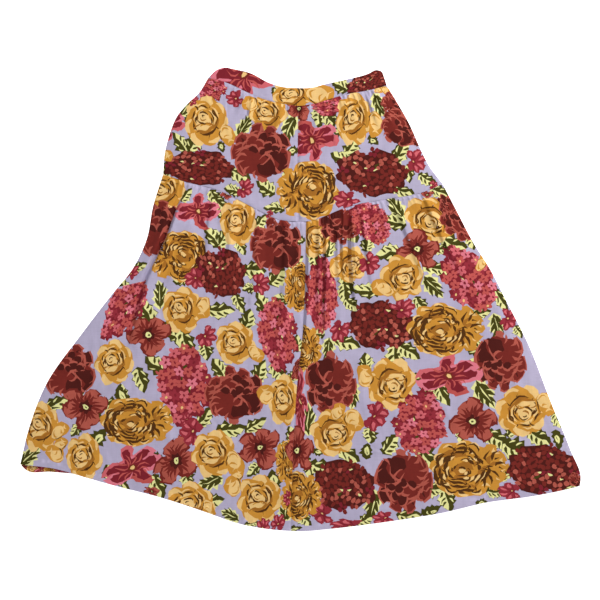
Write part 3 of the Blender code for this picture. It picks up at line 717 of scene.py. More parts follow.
UPPER_RIGHT_PRINT = (
    (LEAF, 33, 329, -100, 37, 30), (LEAF, 52, 325, -60, 37, 30), (SMALL_LEAF, 66, 302, 180, 20, 17),
    (SMALL_LEAF, 133, 288, -50, 25, 20), (SPRIG, 142, 351, -62, 49, 25), (LEAF, 91, 274, 60, 42, 32),
    (LEAF, 74, 256, 155, 42, 30), (LEAF, 181, 266, 60, 52, 34), (LEAF, 195, 227, -80, 32, 22),
    (LEAF, 228, 217, -25, 39, 25), (LEAF, 186, 196, -15, 42, 25), (LEAF, 46, 167, -80, 32, 25),
    (MAGENTA_FLOWER, 22, 289, 10, 88, 92), (BRICK_FLOWER, -2, 346, 20, 48, 48),
    (PINK_CLUSTER, 52, 353, 0, 76, 38), (BROWN_PEONY, 10, 198, 0, 115, 115), (ROSE, 97, 326, 0, 68, 96),
    (BUD, 135, 317, -80, 50, 30), (BUD, 140, 377, 0, 16, 12), (BUD, 153, 377, -40, 20, 16),
    (MAROON_PEONY, 173, 350, -50, 60, 52), (MAROON_PEONY, 180, 310, -45, 76, 68),
    (DARK_CLUSTER, 127, 230, 0, 139, 104), (HALF_OPEN, 210, 249, -10, 46, 48),
    (HALF_OPEN, 81, 181, 190, 56, 34), (HALF_OPEN, 240, 208, 0, 20, 16),
    (MAROON_PEONY, 213, 288, -50, 16, 28),
)
FOLD_SIDE_PRINT = (
    (LEAF, -294, 58, 20, 34, 22), (LEAF, -319, 22, 110, 44, 30), (ROSE, -247, 196, 0, 84, 76),
    (MAROON_PEONY, -254, 125, 12, 92, 115), (HALF_OPEN, -305, 49, 60, 36, 24),
)
LOWER_LEFT_PRINT = (
    (LEAF, -154, 184, -60, 34, 27), (LEAF, -147, 171, -50, 37, 25), (LEAF, -206, 189, 50, 32, 22),
    (SMALL_LEAF, -145, 151, 180, 17, 15), (LEAF, -72, 141, 50, 34, 27), (SMALL_LEAF, -2, 107, 170, 20, 17),
    (LEAF, -159, 114, 130, 47, 30), (LEAF, -138, 111, 60, 42, 30), (LEAF, -107, 96, -60, 34, 22),
    (LEAF, -215, 35, 190, 32, 22), (LEAF, -85, 52, 0, 44, 34), (LEAF, -41, 40, 50, 42, 32),
    (LEAF, -94, 19, 190, 27, 22), (LEAF, -11, 68, 30, 37, 25), (LEAF, -30, 1, 175, 42, 22),
    (SPRIG, -254, 9, 95, 52, 30), (LEAF, -277, -23, 110, 52, 34), (SMALL_LEAF, -243, -47, 20, 25, 17),
    (LEAF, -144, -20, 0, 54, 30), (LEAF, -110, -7, -60, 42, 22), (LEAF, -68, -9, 120, 52, 30),
    (LEAF, -96, -37, 70, 42, 32), (LEAF, -228, -66, 170, 37, 27), (LEAF, -207, -81, -75, 59, 37),
    (LEAF, -172, -94, -80, 32, 30), (LEAF, -5, -81, 90, 34, 22), (LEAF, -41, -131, -70, 42, 32),
    (LEAF, -14, -137, 60, 25, 22), (LEAF, -260, -119, 145, 52, 37), (LEAF, -289, -146, -75, 49, 30),
    (LEAF, -322, -172, 100, 37, 27), (LEAF, -147, -125, 120, 42, 30), (LEAF, -73, -131, 70, 49, 30),
    (LEAF, -405, -176, 30, 32, 20), (LEAF, -444, -190, 20, 62, 30), (LEAF, -405, -235, -130, 37, 20),
    (SMALL_LEAF, -365, -211, -60, 22, 17), (LEAF, -342, -194, -20, 37, 32),
    (SMALL_LEAF, -323, -175, 110, 39, 30), (SMALL_LEAF, -366, -251, 55, 44, 34),
    (SPRIG, -490, -284, 35, 52, 30), (LEAF, -346, -313, 110, 34, 27), (LEAF, -325, -326, -50, 47, 25),
    (SMALL_LEAF, -261, -287, 180, 27, 25), (LEAF, -258, -338, -70, 49, 30), (LEAF, -173, -212, 60, 42, 34),
    (LEAF, -234, -216, 0, 37, 22), (LEAF, -204, -327, -70, 39, 27), (LEAF, -127, -236, 10, 57, 34),
    (LEAF, -81, -228, 35, 49, 27), (SMALL_LEAF, -197, -305, -60, 25, 20), (SPRIG, -162, -329, 195, 49, 34),
    (LEAF, -86, -309, -130, 32, 22), (SMALL_LEAF, -49, -327, 100, 37, 34), (LEAF, -160, -364, 0, 47, 30),
    (SPRIG, -128, -391, 150, 37, 27), (LEAF, -88, -407, 0, 30, 15), (SPRIG, -27, -386, 80, 34, 30),
    (LEAF, -16, -245, 110, 37, 25), (LEAF, -26, -266, 10, 27, 20), (SMALL_LEAF, -12, -244, 90, 25, 20),
    (PINK_CLUSTER, -317, -14, -33, 68, 123), (MAGENTA_FLOWER, -186, 158, 175, 76, 74),
    (BRICK_FLOWER, -134, 189, 0, 24, 20), (ROSE, -113, 140, 0, 68, 86), (HALF_OPEN, -54, 153, 0, 28, 16),
    (MAROON_PEONY, -44, 96, 0, 96, 106), (BROWN_PEONY, -222, 78, 0, 111, 100),
    (DARK_CLUSTER, -146, 49, 0, 100, 108), (HALF_OPEN, -192, 37, 180, 42, 40),
    (HALF_OPEN, -71, 28, -10, 40, 42), (BROWN_PEONY, -6, 22, 0, 52, 96), (ROSE, -214, -19, 0, 74, 84),
    (BUD, -176, -16, -90, 44, 30), (BRICK_FLOWER, -274, -64, 0, 84, 78),
    (HALF_OPEN, -169, -68, -50, 40, 44), (ROSE, -118, -79, 0, 74, 78), (BUD, -82, -98, -30, 34, 30),
    (PINK_CLUSTER, -43, -61, 6, 76, 127), (MAROON_PEONY, -3, -123, 60, 48, 20),
    (ROSE, -337, -114, 0, 72, 82), (PINK_CLUSTER, -213, -151, 0, 104, 139),
    (MAROON_PEONY, -119, -173, 0, 108, 106), (ROSE, -30, -182, 0, 60, 92), (BUD, -61, -171, 120, 36, 36),
    (BROWN_PEONY, -292, -222, 180, 135, 96), (MAROON_PEONY, -419, -130, 0, 100, 106),
    (BRICK_FLOWER, -390, -196, 0, 86, 82), (ROSE, -470, -231, 0, 74, 90), (BUD, -435, -238, 40, 40, 26),
    (BUD, -433, -262, 80, 24, 26), (BUD, -444, -279, 150, 36, 32), (ROSE, -392, -286, 0, 66, 88),
    (MAGENTA_FLOWER, -305, -304, 200, 104, 88), (BRICK_FLOWER, -270, -347, 0, 28, 20),
    (BRICK_FLOWER, -226, -293, 60, 96, 76), (HALF_OPEN, -198, -238, 150, 54, 52),
    (HALF_OPEN, -205, -216, 100, 24, 20), (ROSE, -156, -279, 0, 84, 86), (BUD, -120, -296, -60, 44, 36),
    (BUD, -113, -318, 80, 28, 24), (BUD, -123, -337, 150, 32, 42), (BRICK_FLOWER, -73, -269, 20, 80, 82),
    (ROSE, -74, -361, 0, 82, 90), (ROSE, -200, -372, 0, 92, 84), (BUD, -166, -378, -60, 34, 24),
    (HALF_OPEN, -68, -410, 60, 40, 24), (HALF_OPEN, -41, -405, 80, 40, 28),
    (BROWN_PEONY, -22, -293, 0, 52, 88), (BRICK_FLOWER, -3, -273, 0, 48, 88),
    (BROWN_PEONY, -1, -356, 0, 76, 92), (HALF_OPEN, -24, -358, 180, 18, 32),
)
LOWER_RIGHT_PRINT = (
    (LEAF, 27, 71, -95, 39, 32), (LEAF, 54, 95, 80, 42, 25), (LEAF, 93, 118, -60, 37, 27),
    (SPRIG, 173, 165, 125, 59, 30), (LEAF, 168, 141, 165, 49, 32), (LEAF, 253, 193, -25, 44, 25),
    (LEAF, 277, 100, -15, 54, 34), (LEAF, 310, 106, -75, 37, 25), (LEAF, 84, 31, -80, 44, 30),
    (LEAF, 121, 99, 90, 30, 27), (LEAF, 160, 83, 190, 49, 34), (LEAF, 245, 55, -15, 59, 27),
    (LEAF, 254, 89, 0, 34, 20), (LEAF, 118, 16, 178, 57, 30), (SPRIG, 240, 22, -50, 54, 34),
    (LEAF, 79, 13, -80, 39, 30), (LEAF, 93, -9, -40, 34, 25), (LEAF, 362, 0, -55, 52, 27),
    (LEAF, 326, -25, 10, 42, 22), (LEAF, 395, -59, -60, 25, 20), (LEAF, 218, -10, -50, 37, 27),
    (LEAF, 208, -48, 60, 27, 22), (LEAF, 82, -78, -20, 54, 32), (LEAF, 30, -61, 170, 32, 25),
    (SPRIG, 49, -92, -100, 44, 25), (SPRIG, 354, -50, -80, 49, 32), (LEAF, 314, -86, 170, 42, 34),
    (LEAF, 321, -110, 180, 30, 22), (SPRIG, 334, -172, -55, 62, 39), (LEAF, 119, -112, 100, 34, 27),
    (LEAF, 171, -106, -80, 54, 39), (LEAF, 195, -95, -30, 49, 30), (SMALL_LEAF, 207, -142, 150, 27, 22),
    (LEAF, 230, -161, 110, 42, 32), (LEAF, 256, -171, -60, 47, 32), (SPRIG, 94, -175, -95, 54, 30),
    (LEAF, 288, -238, -80, 49, 25), (LEAF, 356, -255, -30, 52, 39), (LEAF, 381, -237, 60, 27, 22),
    (LEAF, 431, -250, -30, 49, 32), (SMALL_LEAF, 465, -253, -80, 37, 25), (LEAF, 466, -218, -60, 34, 25),
    (LEAF, 390, -271, -25, 59, 42), (LEAF, 125, -246, -90, 32, 30), (LEAF, 163, -263, 60, 44, 34),
    (LEAF, 227, -284, -60, 52, 39), (LEAF, 85, -278, -40, 54, 34), (SMALL_LEAF, 33, -275, 0, 22, 17),
    (SMALL_LEAF, 120, -275, 90, 30, 25), (SPRIG, 14, -218, 90, 62, 30), (LEAF, 14, -304, -80, 39, 25),
    (LEAF, 41, -307, -20, 54, 37), (LEAF, 24, -360, 60, 27, 25), (LEAF, 7, -398, -50, 32, 27),
    (SMALL_LEAF, -10, -414, 0, 25, 15), (SPRIG, 130, -372, -95, 57, 34), (LEAF, 117, -400, 30, 37, 22),
    (LEAF, 196, -391, 0, 49, 25), (SMALL_LEAF, 237, -382, 20, 37, 25), (LEAF, 241, -345, 0, 37, 30),
    (LEAF, 372, -316, 60, 30, 25), (LEAF, 351, -350, 0, 32, 25), (LEAF, 265, -363, -70, 44, 37),
    (SMALL_LEAF, 328, -367, 0, 22, 17), (SMALL_LEAF, 242, -382, 0, 22, 17), (LEAF, 484, -340, 15, 44, 17),
    (ROSE, 25, 113, 180, 60, 76), (PINK_CLUSTER, 39, 5, 180, 64, 131), (MAROON_PEONY, 71, 135, 180, 76, 72),
    (PINK_CLUSTER, 128, 140, -145, 68, 88), (ROSE, 234, 144, 145, 100, 78),
    (BRICK_FLOWER, 231, 191, 0, 24, 16), (MAROON_PEONY, 287, 147, 125, 92, 68),
    (MAROON_PEONY, 265, 171, 130, 40, 28), (ROSE, 90, 63, 180, 60, 68), (BUD, 64, 58, 100, 38, 28),
    (HALF_OPEN, 124, 64, -60, 44, 44), (BRICK_FLOWER, 213, 89, 180, 82, 78), (ROSE, 184, 40, 180, 80, 84),
    (BUD, 148, 20, 170, 42, 34), (PINK_CLUSTER, 307, 36, -145, 92, 127), (BUD, 329, 68, 60, 36, 20),
    (HALF_OPEN, 377, -36, -30, 40, 44), (DARK_CLUSTER, 149, -48, 180, 131, 108),
    (HALF_OPEN, 187, -16, 20, 54, 36), (HALF_OPEN, 71, -57, -110, 52, 36),
    (BROWN_PEONY, 10, -90, 180, 60, 92), (BROWN_PEONY, 267, -56, 180, 143, 104),
    (MAROON_PEONY, 361, -112, 180, 96, 111), (MAROON_PEONY, 54, -153, 180, 94, 119),
    (ROSE, 164, -153, 180, 92, 94), (BUD, 117, -139, 100, 44, 34),
    (MAGENTA_FLOWER, 268, -139, 185, 115, 88), (PINK_CLUSTER, 218, -226, 170, 104, 111),
    (BRICK_FLOWER, 313, -220, 180, 90, 86), (ROSE, 401, -202, 180, 96, 94), (BUD, 443, -190, -50, 44, 36),
    (ROSE, 59, -242, 180, 82, 86), (BUD, 97, -220, -50, 44, 36), (BUD, 68, -202, 70, 32, 28),
    (HALF_OPEN, 137, -213, -20, 52, 56), (MAGENTA_FLOWER, -1, -186, 90, 119, 32),
    (BRICK_FLOWER, -5, -273, 180, 60, 88), (DARK_CLUSTER, 81, -338, 180, 123, 115),
    (HALF_OPEN, 36, -385, 160, 60, 38), (MAROON_PEONY, 186, -329, 185, 108, 119),
    (BROWN_PEONY, 1, -356, 180, 80, 96), (HALF_OPEN, 84, -410, 180, 80, 28),
    (HALF_OPEN, 149, -396, 180, 48, 28), (BROWN_PEONY, 309, -307, 180, 147, 111),
    (DARK_CLUSTER, 443, -309, 180, 147, 111), (HALF_OPEN, 377, -347, 170, 52, 32),
    (MAROON_PEONY, 500, -327, -60, 28, 28),
)
HEM_TURN_PRINT = (
    (LEAF, -493, -309, 20, 30, 15), (MAROON_PEONY, -500, -302, 0, 24, 28), (ROSE, -484, -307, 0, 28, 24),
    (MAGENTA_FLOWER, -468, -309, 30, 28, 24), (BROWN_PEONY, -450, -305, 0, 32, 28),
    (PINK_CLUSTER, -432, -309, 0, 28, 24),
)
# The group of flowers that the back's print repeats
BACK_GROUP = (
    (ROSE, 40, -47, 0, 84, 88), (BUD, 76, -69, -50, 36, 32), (MAROON_PEONY, 134, -43, 0, 104, 104),
    (PINK_CLUSTER, 228, -62, 10, 92, 119), (BRICK_FLOWER, 29, -134, 0, 80, 80),
    (BROWN_PEONY, 123, -152, 180, 127, 96), (MAGENTA_FLOWER, 221, -174, 10, 92, 88),
    (DARK_CLUSTER, 51, -221, 0, 123, 92), (ROSE, 152, -243, 0, 84, 88), (BUD, 116, -235, 120, 36, 34),
    (HALF_OPEN, 228, -253, -20, 52, 52), (LEAF, 85, -109, 40, 49, 30), (LEAF, 185, -101, -50, 49, 32),
    (LEAF, 174, -14, 80, 44, 30), (LEAF, 83, -7, 150, 42, 27), (LEAF, 181, -203, -20, 44, 30),
    (LEAF, 268, -127, 60, 54, 32), (LEAF, 65, -170, -30, 44, 30), (LEAF, 101, -203, 160, 44, 27),
    (LEAF, 199, -239, 100, 44, 30), (LEAF, 253, -217, 30, 39, 30), (LEAF, 7, -90, 70, 44, 30),
    (LEAF, 264, -14, -40, 44, 30), (SPRIG, 188, -275, 20, 49, 30), (SPRIG, 4, -177, 80, 49, 30),
    (LEAF, 109, -275, -30, 49, 30), (SMALL_LEAF, 272, -181, 0, 25, 20), (SMALL_LEAF, 94, -36, 0, 25, 20),
)


def smooth_step(value):
    """0 up to 1, with level ends."""
    held = np.clip(value, 0.0, 1.0)
    return held * held * (3.0 - 2.0 * held)


def along(places, share):
    """Positions on the smooth curve through the places, at shares of its length."""
    knots = np.array(places, float)
    steps = np.hypot(*np.diff(knots, axis=0).T)
    at = np.concatenate([[0.0], np.cumsum(steps)]) / steps.sum()
    slopes = np.gradient(knots, at, axis=0) if len(at) > 2 else np.repeat(knots[1:] - knots[:1], 2, 0)
    share = np.asarray(share, float)
    i = np.clip(np.searchsorted(at, share, side="right") - 1, 0, len(at) - 2)
    span = (at[i + 1] - at[i])[..., None]
    t = (share - at[i])[..., None] / span
    before = (2 * t**3 - 3 * t**2 + 1) * knots[i] + (t**3 - 2 * t**2 + t) * span * slopes[i]
    after = (3 * t**2 - 2 * t**3) * knots[i + 1] + (t**3 - t**2) * span * slopes[i + 1]
    return before + after


def joined(first, *others):
    """One line from several that meet end to end."""
    line = list(first)
    for other in others:
        line += other[1:]
    return tuple(line)


class Panel:
    """A four-sided piece of cloth seen from above, filled smoothly between its four edge lines."""

    def __init__(self, top, bottom, left, right):
        self.top, self.bottom, self.left, self.right = top, bottom, left, right

    def plan(self, across, down):
        """Plan positions at shares across and down, two arrays of one shape."""
        a, d = across[..., None], down[..., None]
        upright = (1 - d) * along(self.top, across) + d * along(self.bottom, across)
        level = (1 - a) * along(self.left, down) + a * along(self.right, down)
        start, end = np.array(self.top[0]), np.array(self.top[-1])
        foot_start, foot_end = np.array(self.bottom[0]), np.array(self.bottom[-1])
        corners = (1 - d) * ((1 - a) * start + a * end) + d * ((1 - a) * foot_start + a * foot_end)
        return upright + level - corners

    def width(self, down):
        """Straight distance from side to side at each share down."""
        return np.linalg.norm(along(self.right, down) - along(self.left, down), axis=-1)

    def length(self):
        """Straight length down the middle."""
        middle = self.plan(np.array([0.5, 0.5]), np.array([0.0, 1.0]))
        return float(np.linalg.norm(middle[1] - middle[0]))

    def shares(self, points, start=None, steps=7):
        """Shares across and down of plan points, closed in on from the nearest of a coarse grid."""
        if start is None:
            marks = np.linspace(0.0, 1.0, 17)
            grid_across, grid_down = [g.ravel() for g in np.meshgrid(marks, marks)]
            spots = self.plan(grid_across, grid_down)
            nearest = np.concatenate(
                [
                    np.argmin(((part[:, None] - spots) ** 2).sum(axis=2), axis=1)
                    for part in np.array_split(points, max(1, len(points) // 2000))
                ]
            )
            start = grid_across[nearest], grid_down[nearest]
        across, down = start[0].copy(), start[1].copy()
        nudge = 1e-4
        for _ in range(steps):
            here = self.plan(across, down)
            by_across = (self.plan(across + nudge, down) - here) / nudge
            by_down = (self.plan(across, down + nudge) - here) / nudge
            gap = points - here
            scale = by_across[:, 0] * by_down[:, 1] - by_across[:, 1] * by_down[:, 0]
            across += np.clip((gap[:, 0] * by_down[:, 1] - gap[:, 1] * by_down[:, 0]) / scale, -0.1, 0.1)
            down += np.clip((by_across[:, 0] * gap[:, 1] - by_across[:, 1] * gap[:, 0]) / scale, -0.1, 0.1)
            across, down = np.clip(across, -0.01, 1.01), np.clip(down, -0.01, 1.01)
        return across, down

    def outline(self, inset_sides, inset_ends, step):
        """The closed line round the panel, a little inside its edges."""
        length = self.length()
        ends = inset_ends / length
        edges = (self.bottom, self.right, self.top)
        counts = [max(2, int(math.dist(line[0], line[-1]) / step)) for line in edges]
        walks = (
            (np.linspace(0, 1, counts[0], endpoint=False), 1.0),
            (1.0, np.linspace(1, 0, counts[1], endpoint=False)),
            (np.linspace(1, 0, counts[2], endpoint=False), 0.0),
            (0.0, np.linspace(0, 1, counts[1], endpoint=False)),
        )
        line = []
        for across, down in walks:
            across, down = np.broadcast_arrays(np.asarray(across, float), np.asarray(down, float))
            held_down = ends + down * (1 - 2 * ends)
            sides = inset_sides / self.width(held_down)
            line.append(self.plan(sides + across * (1 - 2 * sides), held_down))
        return np.concatenate(line)


def fold_heights(panel, folds, across, down):
    """Height of the main folds at each point of a panel."""
    width = panel.width(down)
    total = np.zeros_like(across)
    for fold in folds:
        centre = fold.top + (fold.bottom - fold.top) * down
        spread = fold.half_width * (1.0 + FOLD_WIDENS * down)
        off = (across - centre) * width
        reach = np.where(off < 0, spread * (1 - fold.lean), spread * (1 + fold.lean))
        rise = smooth_step(down / fold.peak) * (1 - smooth_step((down - fold.peak) / (fold.end - fold.peak)))
        share = np.clip(np.abs(off) / reach, 0.0, 1.0)
        total += fold.height * rise * 0.5 * (1 + np.cos(math.pi * share))
    return total


def crease_heights(creases, points):
    """Height of the creases that follow their own lines."""
    total = np.zeros(len(points))
    for crease in creases:
        line = along(crease.line, np.linspace(0.0, 1.0, 13))
        wide = max(crease.left, crease.right)
        low, high = line.min(axis=0) - wide, line.max(axis=0) + wide
        close = np.flatnonzero(((points > low) & (points < high)).all(axis=1))
        nearest = np.full(len(close), 1e9)
        side, share = np.zeros(len(close)), np.zeros(len(close))
        for k, (start, end) in enumerate(zip(line[:-1], line[1:])):
            way = end - start
            rel = points[close] - start
            t = np.clip(rel @ way / (way @ way), 0.0, 1.0)
            gap = rel - t[:, None] * way
            distance = np.hypot(gap[:, 0], gap[:, 1])
            closer = distance < nearest
            nearest[closer] = distance[closer]
            side[closer] = (way[0] * rel[closer, 1] - way[1] * rel[closer, 0])
            share[closer] = (k + t[closer]) / (len(line) - 1)
        reach = np.where(side > 0, crease.left, crease.right)
        fade = smooth_step(share / 0.25) * smooth_step((1 - share) / 0.4)
        bump = 0.5 * (1 + np.cos(math.pi * np.clip(nearest / reach, 0.0, 1.0)))
        total[close] += crease.height * fade * bump
    return total


def gather_heights(seed, width, across, from_seam, spacing, height, length):
    """Small uneven gathers that start at a seam and die away from it."""
    rng = np.random.default_rng(seed)
    total = np.zeros_like(across)
    at = rng.uniform(2.0, spacing)
    while at < width:
        tall = height * rng.uniform(0.35, 1.0)
        long = length * rng.uniform(0.4, 1.2)
        half = rng.uniform(2.6, 4.6)
        drift = rng.uniform(-0.16, 0.16)
        off = np.abs(across * width - at - drift * from_seam) / (half * (1 + from_seam / 60.0))
        fade = smooth_step((from_seam + 1.0) / 5.0) * np.exp(-((np.maximum(from_seam, 0.0) / long) ** 1.5))
        total += tall * fade * 0.5 * (1 + np.cos(math.pi * np.clip(off, 0.0, 1.0)))
        at += spacing * rng.uniform(0.55, 1.5)
    return total


def crinkle(points, height, seed):
    """Soft relief of crumpled cotton, mostly in upright wrinkles, between -height and +height."""
    rng = np.random.default_rng(seed)
    total = np.zeros(len(points))
    bent = points + 7.0 * np.sin(points[:, ::-1] / 31.0 + 1.3) + 2.2 * np.sin(points[:, ::-1] / 12.0)
    for k in range(14):
        turn = 2.39996 * k + 0.4 if k < 8 else rng.uniform(-0.3, 0.3)
        size = 17.0 + 6.0 * k if k < 8 else 13.0 + 3.0 * (k - 8)
        wave = (bent[:, 0] * math.cos(turn) + bent[:, 1] * math.sin(turn)) * 2 * math.pi / size
        patch = 1.0 + 0.7 * np.sin(bent[:, 0] / 37.0 + k) * np.sin(bent[:, 1] / 53.0 + 2 * k)
        total += np.sin(wave + rng.uniform(0, 6.28)) * (0.3 + size / 90.0) * patch
    return height * total / 4.5


Relief = namedtuple("Relief", "under over")


def curled(from_side, rest, loft):
    """Underside of a front piece, curled down at its side edge and lofted away from it."""
    under = EDGE_REST + (rest - EDGE_REST) * smooth_step(from_side / CURL_REACH)
    return under + loft * smooth_step(from_side / SIDE_ROLL)


class Tier:
    """A piece of one tier: its panel, its folds and creases, and how its cloth looks."""

    def __init__(self, panel, folds, creases, seed, hem, look):
        self.panel, self.folds, self.creases = panel, folds, creases
        self.seed, self.hem, self.look = seed, hem, look
        self.length = panel.length()
        self.top_width = float(panel.width(np.array([0.0]))[0])

    def gathers(self, across, from_top):
        """Height of the gathers below the seam at the piece's top."""
        height = self.look.gathers / MM
        return gather_heights(self.seed, self.top_width, across, from_top, GATHER_STEP, height, GATHER_LENGTH)


class FrontTier(Tier):
    """A front piece of one tier, curled down at its side edge, with folds, gathers and creases."""

    inset_sides = FRONT_INSET

    def __init__(self, panel, side_at, folds, creases, seed, hem, look):
        super().__init__(panel, folds, creases, seed, hem, look)
        self.side_at = side_at

    def relief(self, points, shares):
        """Underside and upper side of the cloth at plan points."""
        look = self.look
        across, down = shares
        width = self.panel.width(down)
        from_side = (across if self.side_at == 0 else 1 - across) * width
        from_centre = (1 - across if self.side_at == 0 else across) * width
        from_top = down * self.length
        from_hem = (1 - down) * self.length
        inside = smooth_step((from_side - CALM_FROM) / CALM_OVER)
        under = curled(from_side, FRONT_REST, LOFT)
        dip = CENTRE_DIP * (1 - smooth_step(from_centre / CENTRE_DIP_REACH))
        top_dip = TIER_SEAM_DIP if self.hem else WAIST_SEAM_DIP
        dip += top_dip * (1 - smooth_step(from_top / SEAM_DIP_REACH))
        if not self.hem:
            dip += TIER_FOOT_DIP * (1 - smooth_step(from_hem / TIER_FOOT_REACH))
        under = under - np.minimum(dip, DEEPEST_DIP) * inside
        folds = look.folds * fold_heights(self.panel, self.folds, across, down)
        under = under + folds * smooth_step(from_top / 10 + 0.3)
        under = under + look.folds * crease_heights(self.creases, points) * inside
        under = under + inside * self.gathers(across, from_top)
        under = under + inside * crinkle(points, look.crinkle / MM, self.seed)
        over = look.thickness / MM
        if self.hem:
            wave = smooth_step((down - 0.65) / 0.35) * smooth_step(from_side / (2 * SIDE_ROLL))
            under = under + HEM_WAVE * wave * np.sin(2 * math.pi * HEM_WAVES * across + 0.8)
            turned = 1 - smooth_step((from_hem - look.hem / MM) / HEM_STEP_REACH)
            over = over + FRONT_HEM_STEP * turned
            pucker = np.exp(-(((from_hem - look.hem / MM + 1.5) / PUCKER_REACH) ** 2))
            evenness = 0.6 + 0.4 * np.cos(across * width * 2 * math.pi / PUCKER_EVERY)
            over = over - HEM_PUCKER * pucker * evenness
        under = np.maximum(under, np.where(from_side < 2.2, EDGE_REST, FRONT_REST - LOWEST_FRONT))
        return Relief(under, under + over)


class BackTier(Tier):
    """A back piece of one tier, resting on the ground with its printed side down."""

    inset_sides = BACK_INSET

    def relief(self, points, shares):
        """Underside and upper side of the cloth at plan points."""
        look = self.look
        across, down = shares
        width = self.panel.width(down)
        from_side = np.minimum(across, 1 - across) * width
        from_top = down * self.length
        from_hem = (1 - down) * self.length
        inside = smooth_step(from_side / SIDE_ROLL)
        lift = BACK_FOLDS * look.folds * fold_heights(self.panel, self.folds, across, down)
        lift += BACK_CREASES * crease_heights(self.creases, points)
        lift += BACK_GATHERS * self.gathers(across, from_top)
        lift += np.maximum(crinkle(points, BACK_CRINKLE * look.crinkle / MM, self.seed), 0.0)
        under = np.minimum(lift * inside, BACK_MOST_LIFT)
        over = look.thickness / MM
        if self.hem:
            over = over + BACK_HEM_STEP * (1 - smooth_step((from_hem - look.hem / MM) / HEM_STEP_REACH))
        return Relief(under, under + over)


class Band:
    """One side of the waistband, a double strip with a rolled top edge."""

    def __init__(self, panel, front, look):
        self.panel, self.front, self.look = panel, front, look
        self.length = panel.length()
        self.inset_sides = FRONT_INSET if front else BACK_INSET

    def relief(self, points, shares):
        """Underside and upper side of the cloth at plan points."""
        look = self.look
        across, down = shares
        from_end = np.minimum(across, 1 - across) * self.panel.width(down)
        from_top = down * self.length
        from_seam = (1 - down) * self.length
        double = BAND_LAYERS * look.thickness / MM
        if not self.front:
            return Relief(np.zeros(len(points)), np.full(len(points), double))
        inside = smooth_step((from_end - CALM_FROM) / CALM_OVER)
        under = curled(from_end, BAND_REST, BAND_LOFT)
        under = under + inside * crinkle(points, BAND_CRINKLE * look.crinkle / MM, 5)
        swell = BAND_SWELL * inside * np.sin(across * 37.0 + 2.0 * np.sin(across * 11.0))
        under = under + swell * smooth_step(from_top / 22.0)
        over = double * (0.72 + 0.28 * smooth_step(np.minimum(from_top, from_seam) / 3.0))
        over = over + 0.25 * (1 - smooth_step((from_seam - 5.5) / 1.0))
        return Relief(under, under + over)


def spread_spots(panel, step, seed):
    """Points spread evenly but not in rows over the box round a panel."""
    rng = np.random.default_rng(seed)
    low = panel.outline(0, 0, 20.0).min(axis=0)
    high = panel.outline(0, 0, 20.0).max(axis=0)
    rows = []
    for k, y in enumerate(np.arange(low[1], high[1], step * 0.87)):
        x = np.arange(low[0] + (k % 2) * step / 2, high[0], step)
        rows.append(np.column_stack([x, np.full(len(x), y)]))
    spots = np.concatenate(rows)
    return spots + rng.uniform(-0.22, 0.22, spots.shape) * step


def fold_spots(panel, folds):
    """Extra points along the steep flanks of the main folds."""
    spots = []
    for fold in folds:
        if fold.height < 2.0:
            continue
        down = np.linspace(0.01, min(1.0, fold.end * 1.05), int(fold.end * panel.length() / 5.0))
        centre = fold.top + (fold.bottom - fold.top) * down
        width = panel.width(down)
        for share in (-1.0, -0.75, -0.5, -0.25, 0.0, 0.25, 0.5, 0.75, 1.0):
            spread = fold.half_width * (1 + FOLD_WIDENS * down) * (1 + fold.lean * (1 if share > 0 else -1))
            spots.append(panel.plan(centre + share * spread / width, down))
    return np.concatenate(spots)


def crease_spots(creases):
    """Extra points on both sides of each crease."""
    spots = []
    for crease in creases:
        knots = np.array(crease.line, float)
        length = np.hypot(*np.diff(knots, axis=0).T).sum()
        line = along(crease.line, np.linspace(0.02, 0.98, max(4, int(length / 4.0))))
        ahead = np.gradient(line, axis=0)
        left = np.column_stack([-ahead[:, 1], ahead[:, 0]]) / np.linalg.norm(ahead, axis=1)[:, None]
        for reach, side in ((crease.left, 1), (crease.right, -1)):
            for share in (0.0, 0.33, 0.66, 1.0):
                spots.append(line + side * share * reach * left)
    return np.concatenate(spots)


def gather_spots(panel, depth):
    """Extra points close to the gathered edge."""
    width = float(panel.width(np.array([0.0]))[0])
    spots = []
    for from_top in np.arange(1.2, depth, 3.2):
        step = 1.9 + from_top / 22.0
        across = np.arange(0.002, 0.998, step / width)
        spots.append(panel.plan(across, np.full(len(across), from_top / panel.length())))
    return np.concatenate(spots)


def motif_shapes(chart, low, high):
    """Every drawn shape of a chart that comes near the box, with its colour, in paint order."""
    shapes = []
    for motif, x, y, turn, wide, tall in chart:
        reach = max(wide, tall) * 0.62
        if not (low[0] - reach < x < high[0] + reach and low[1] - reach < y < high[1] + reach):
            continue
        for colour, shape in motif:
            grown = shape * (wide / 2, tall / 2)
            shapes.append((colour, loosened(placed(grown, x, y, turn))))
    return shapes


def inside_line(line, points):
    """Which points lie inside a closed line, by how often a level ray crosses it."""
    x, y = points[:, 0], points[:, 1]
    inside = np.zeros(len(points), bool)
    for (ax, ay), (bx, by) in zip(line, np.roll(line, -1, 0)):
        if ay != by:
            crosses = (ay > y) != (by > y)
            inside ^= crosses & (x < ax + (y - ay) * (bx - ax) / (by - ay))
    return inside


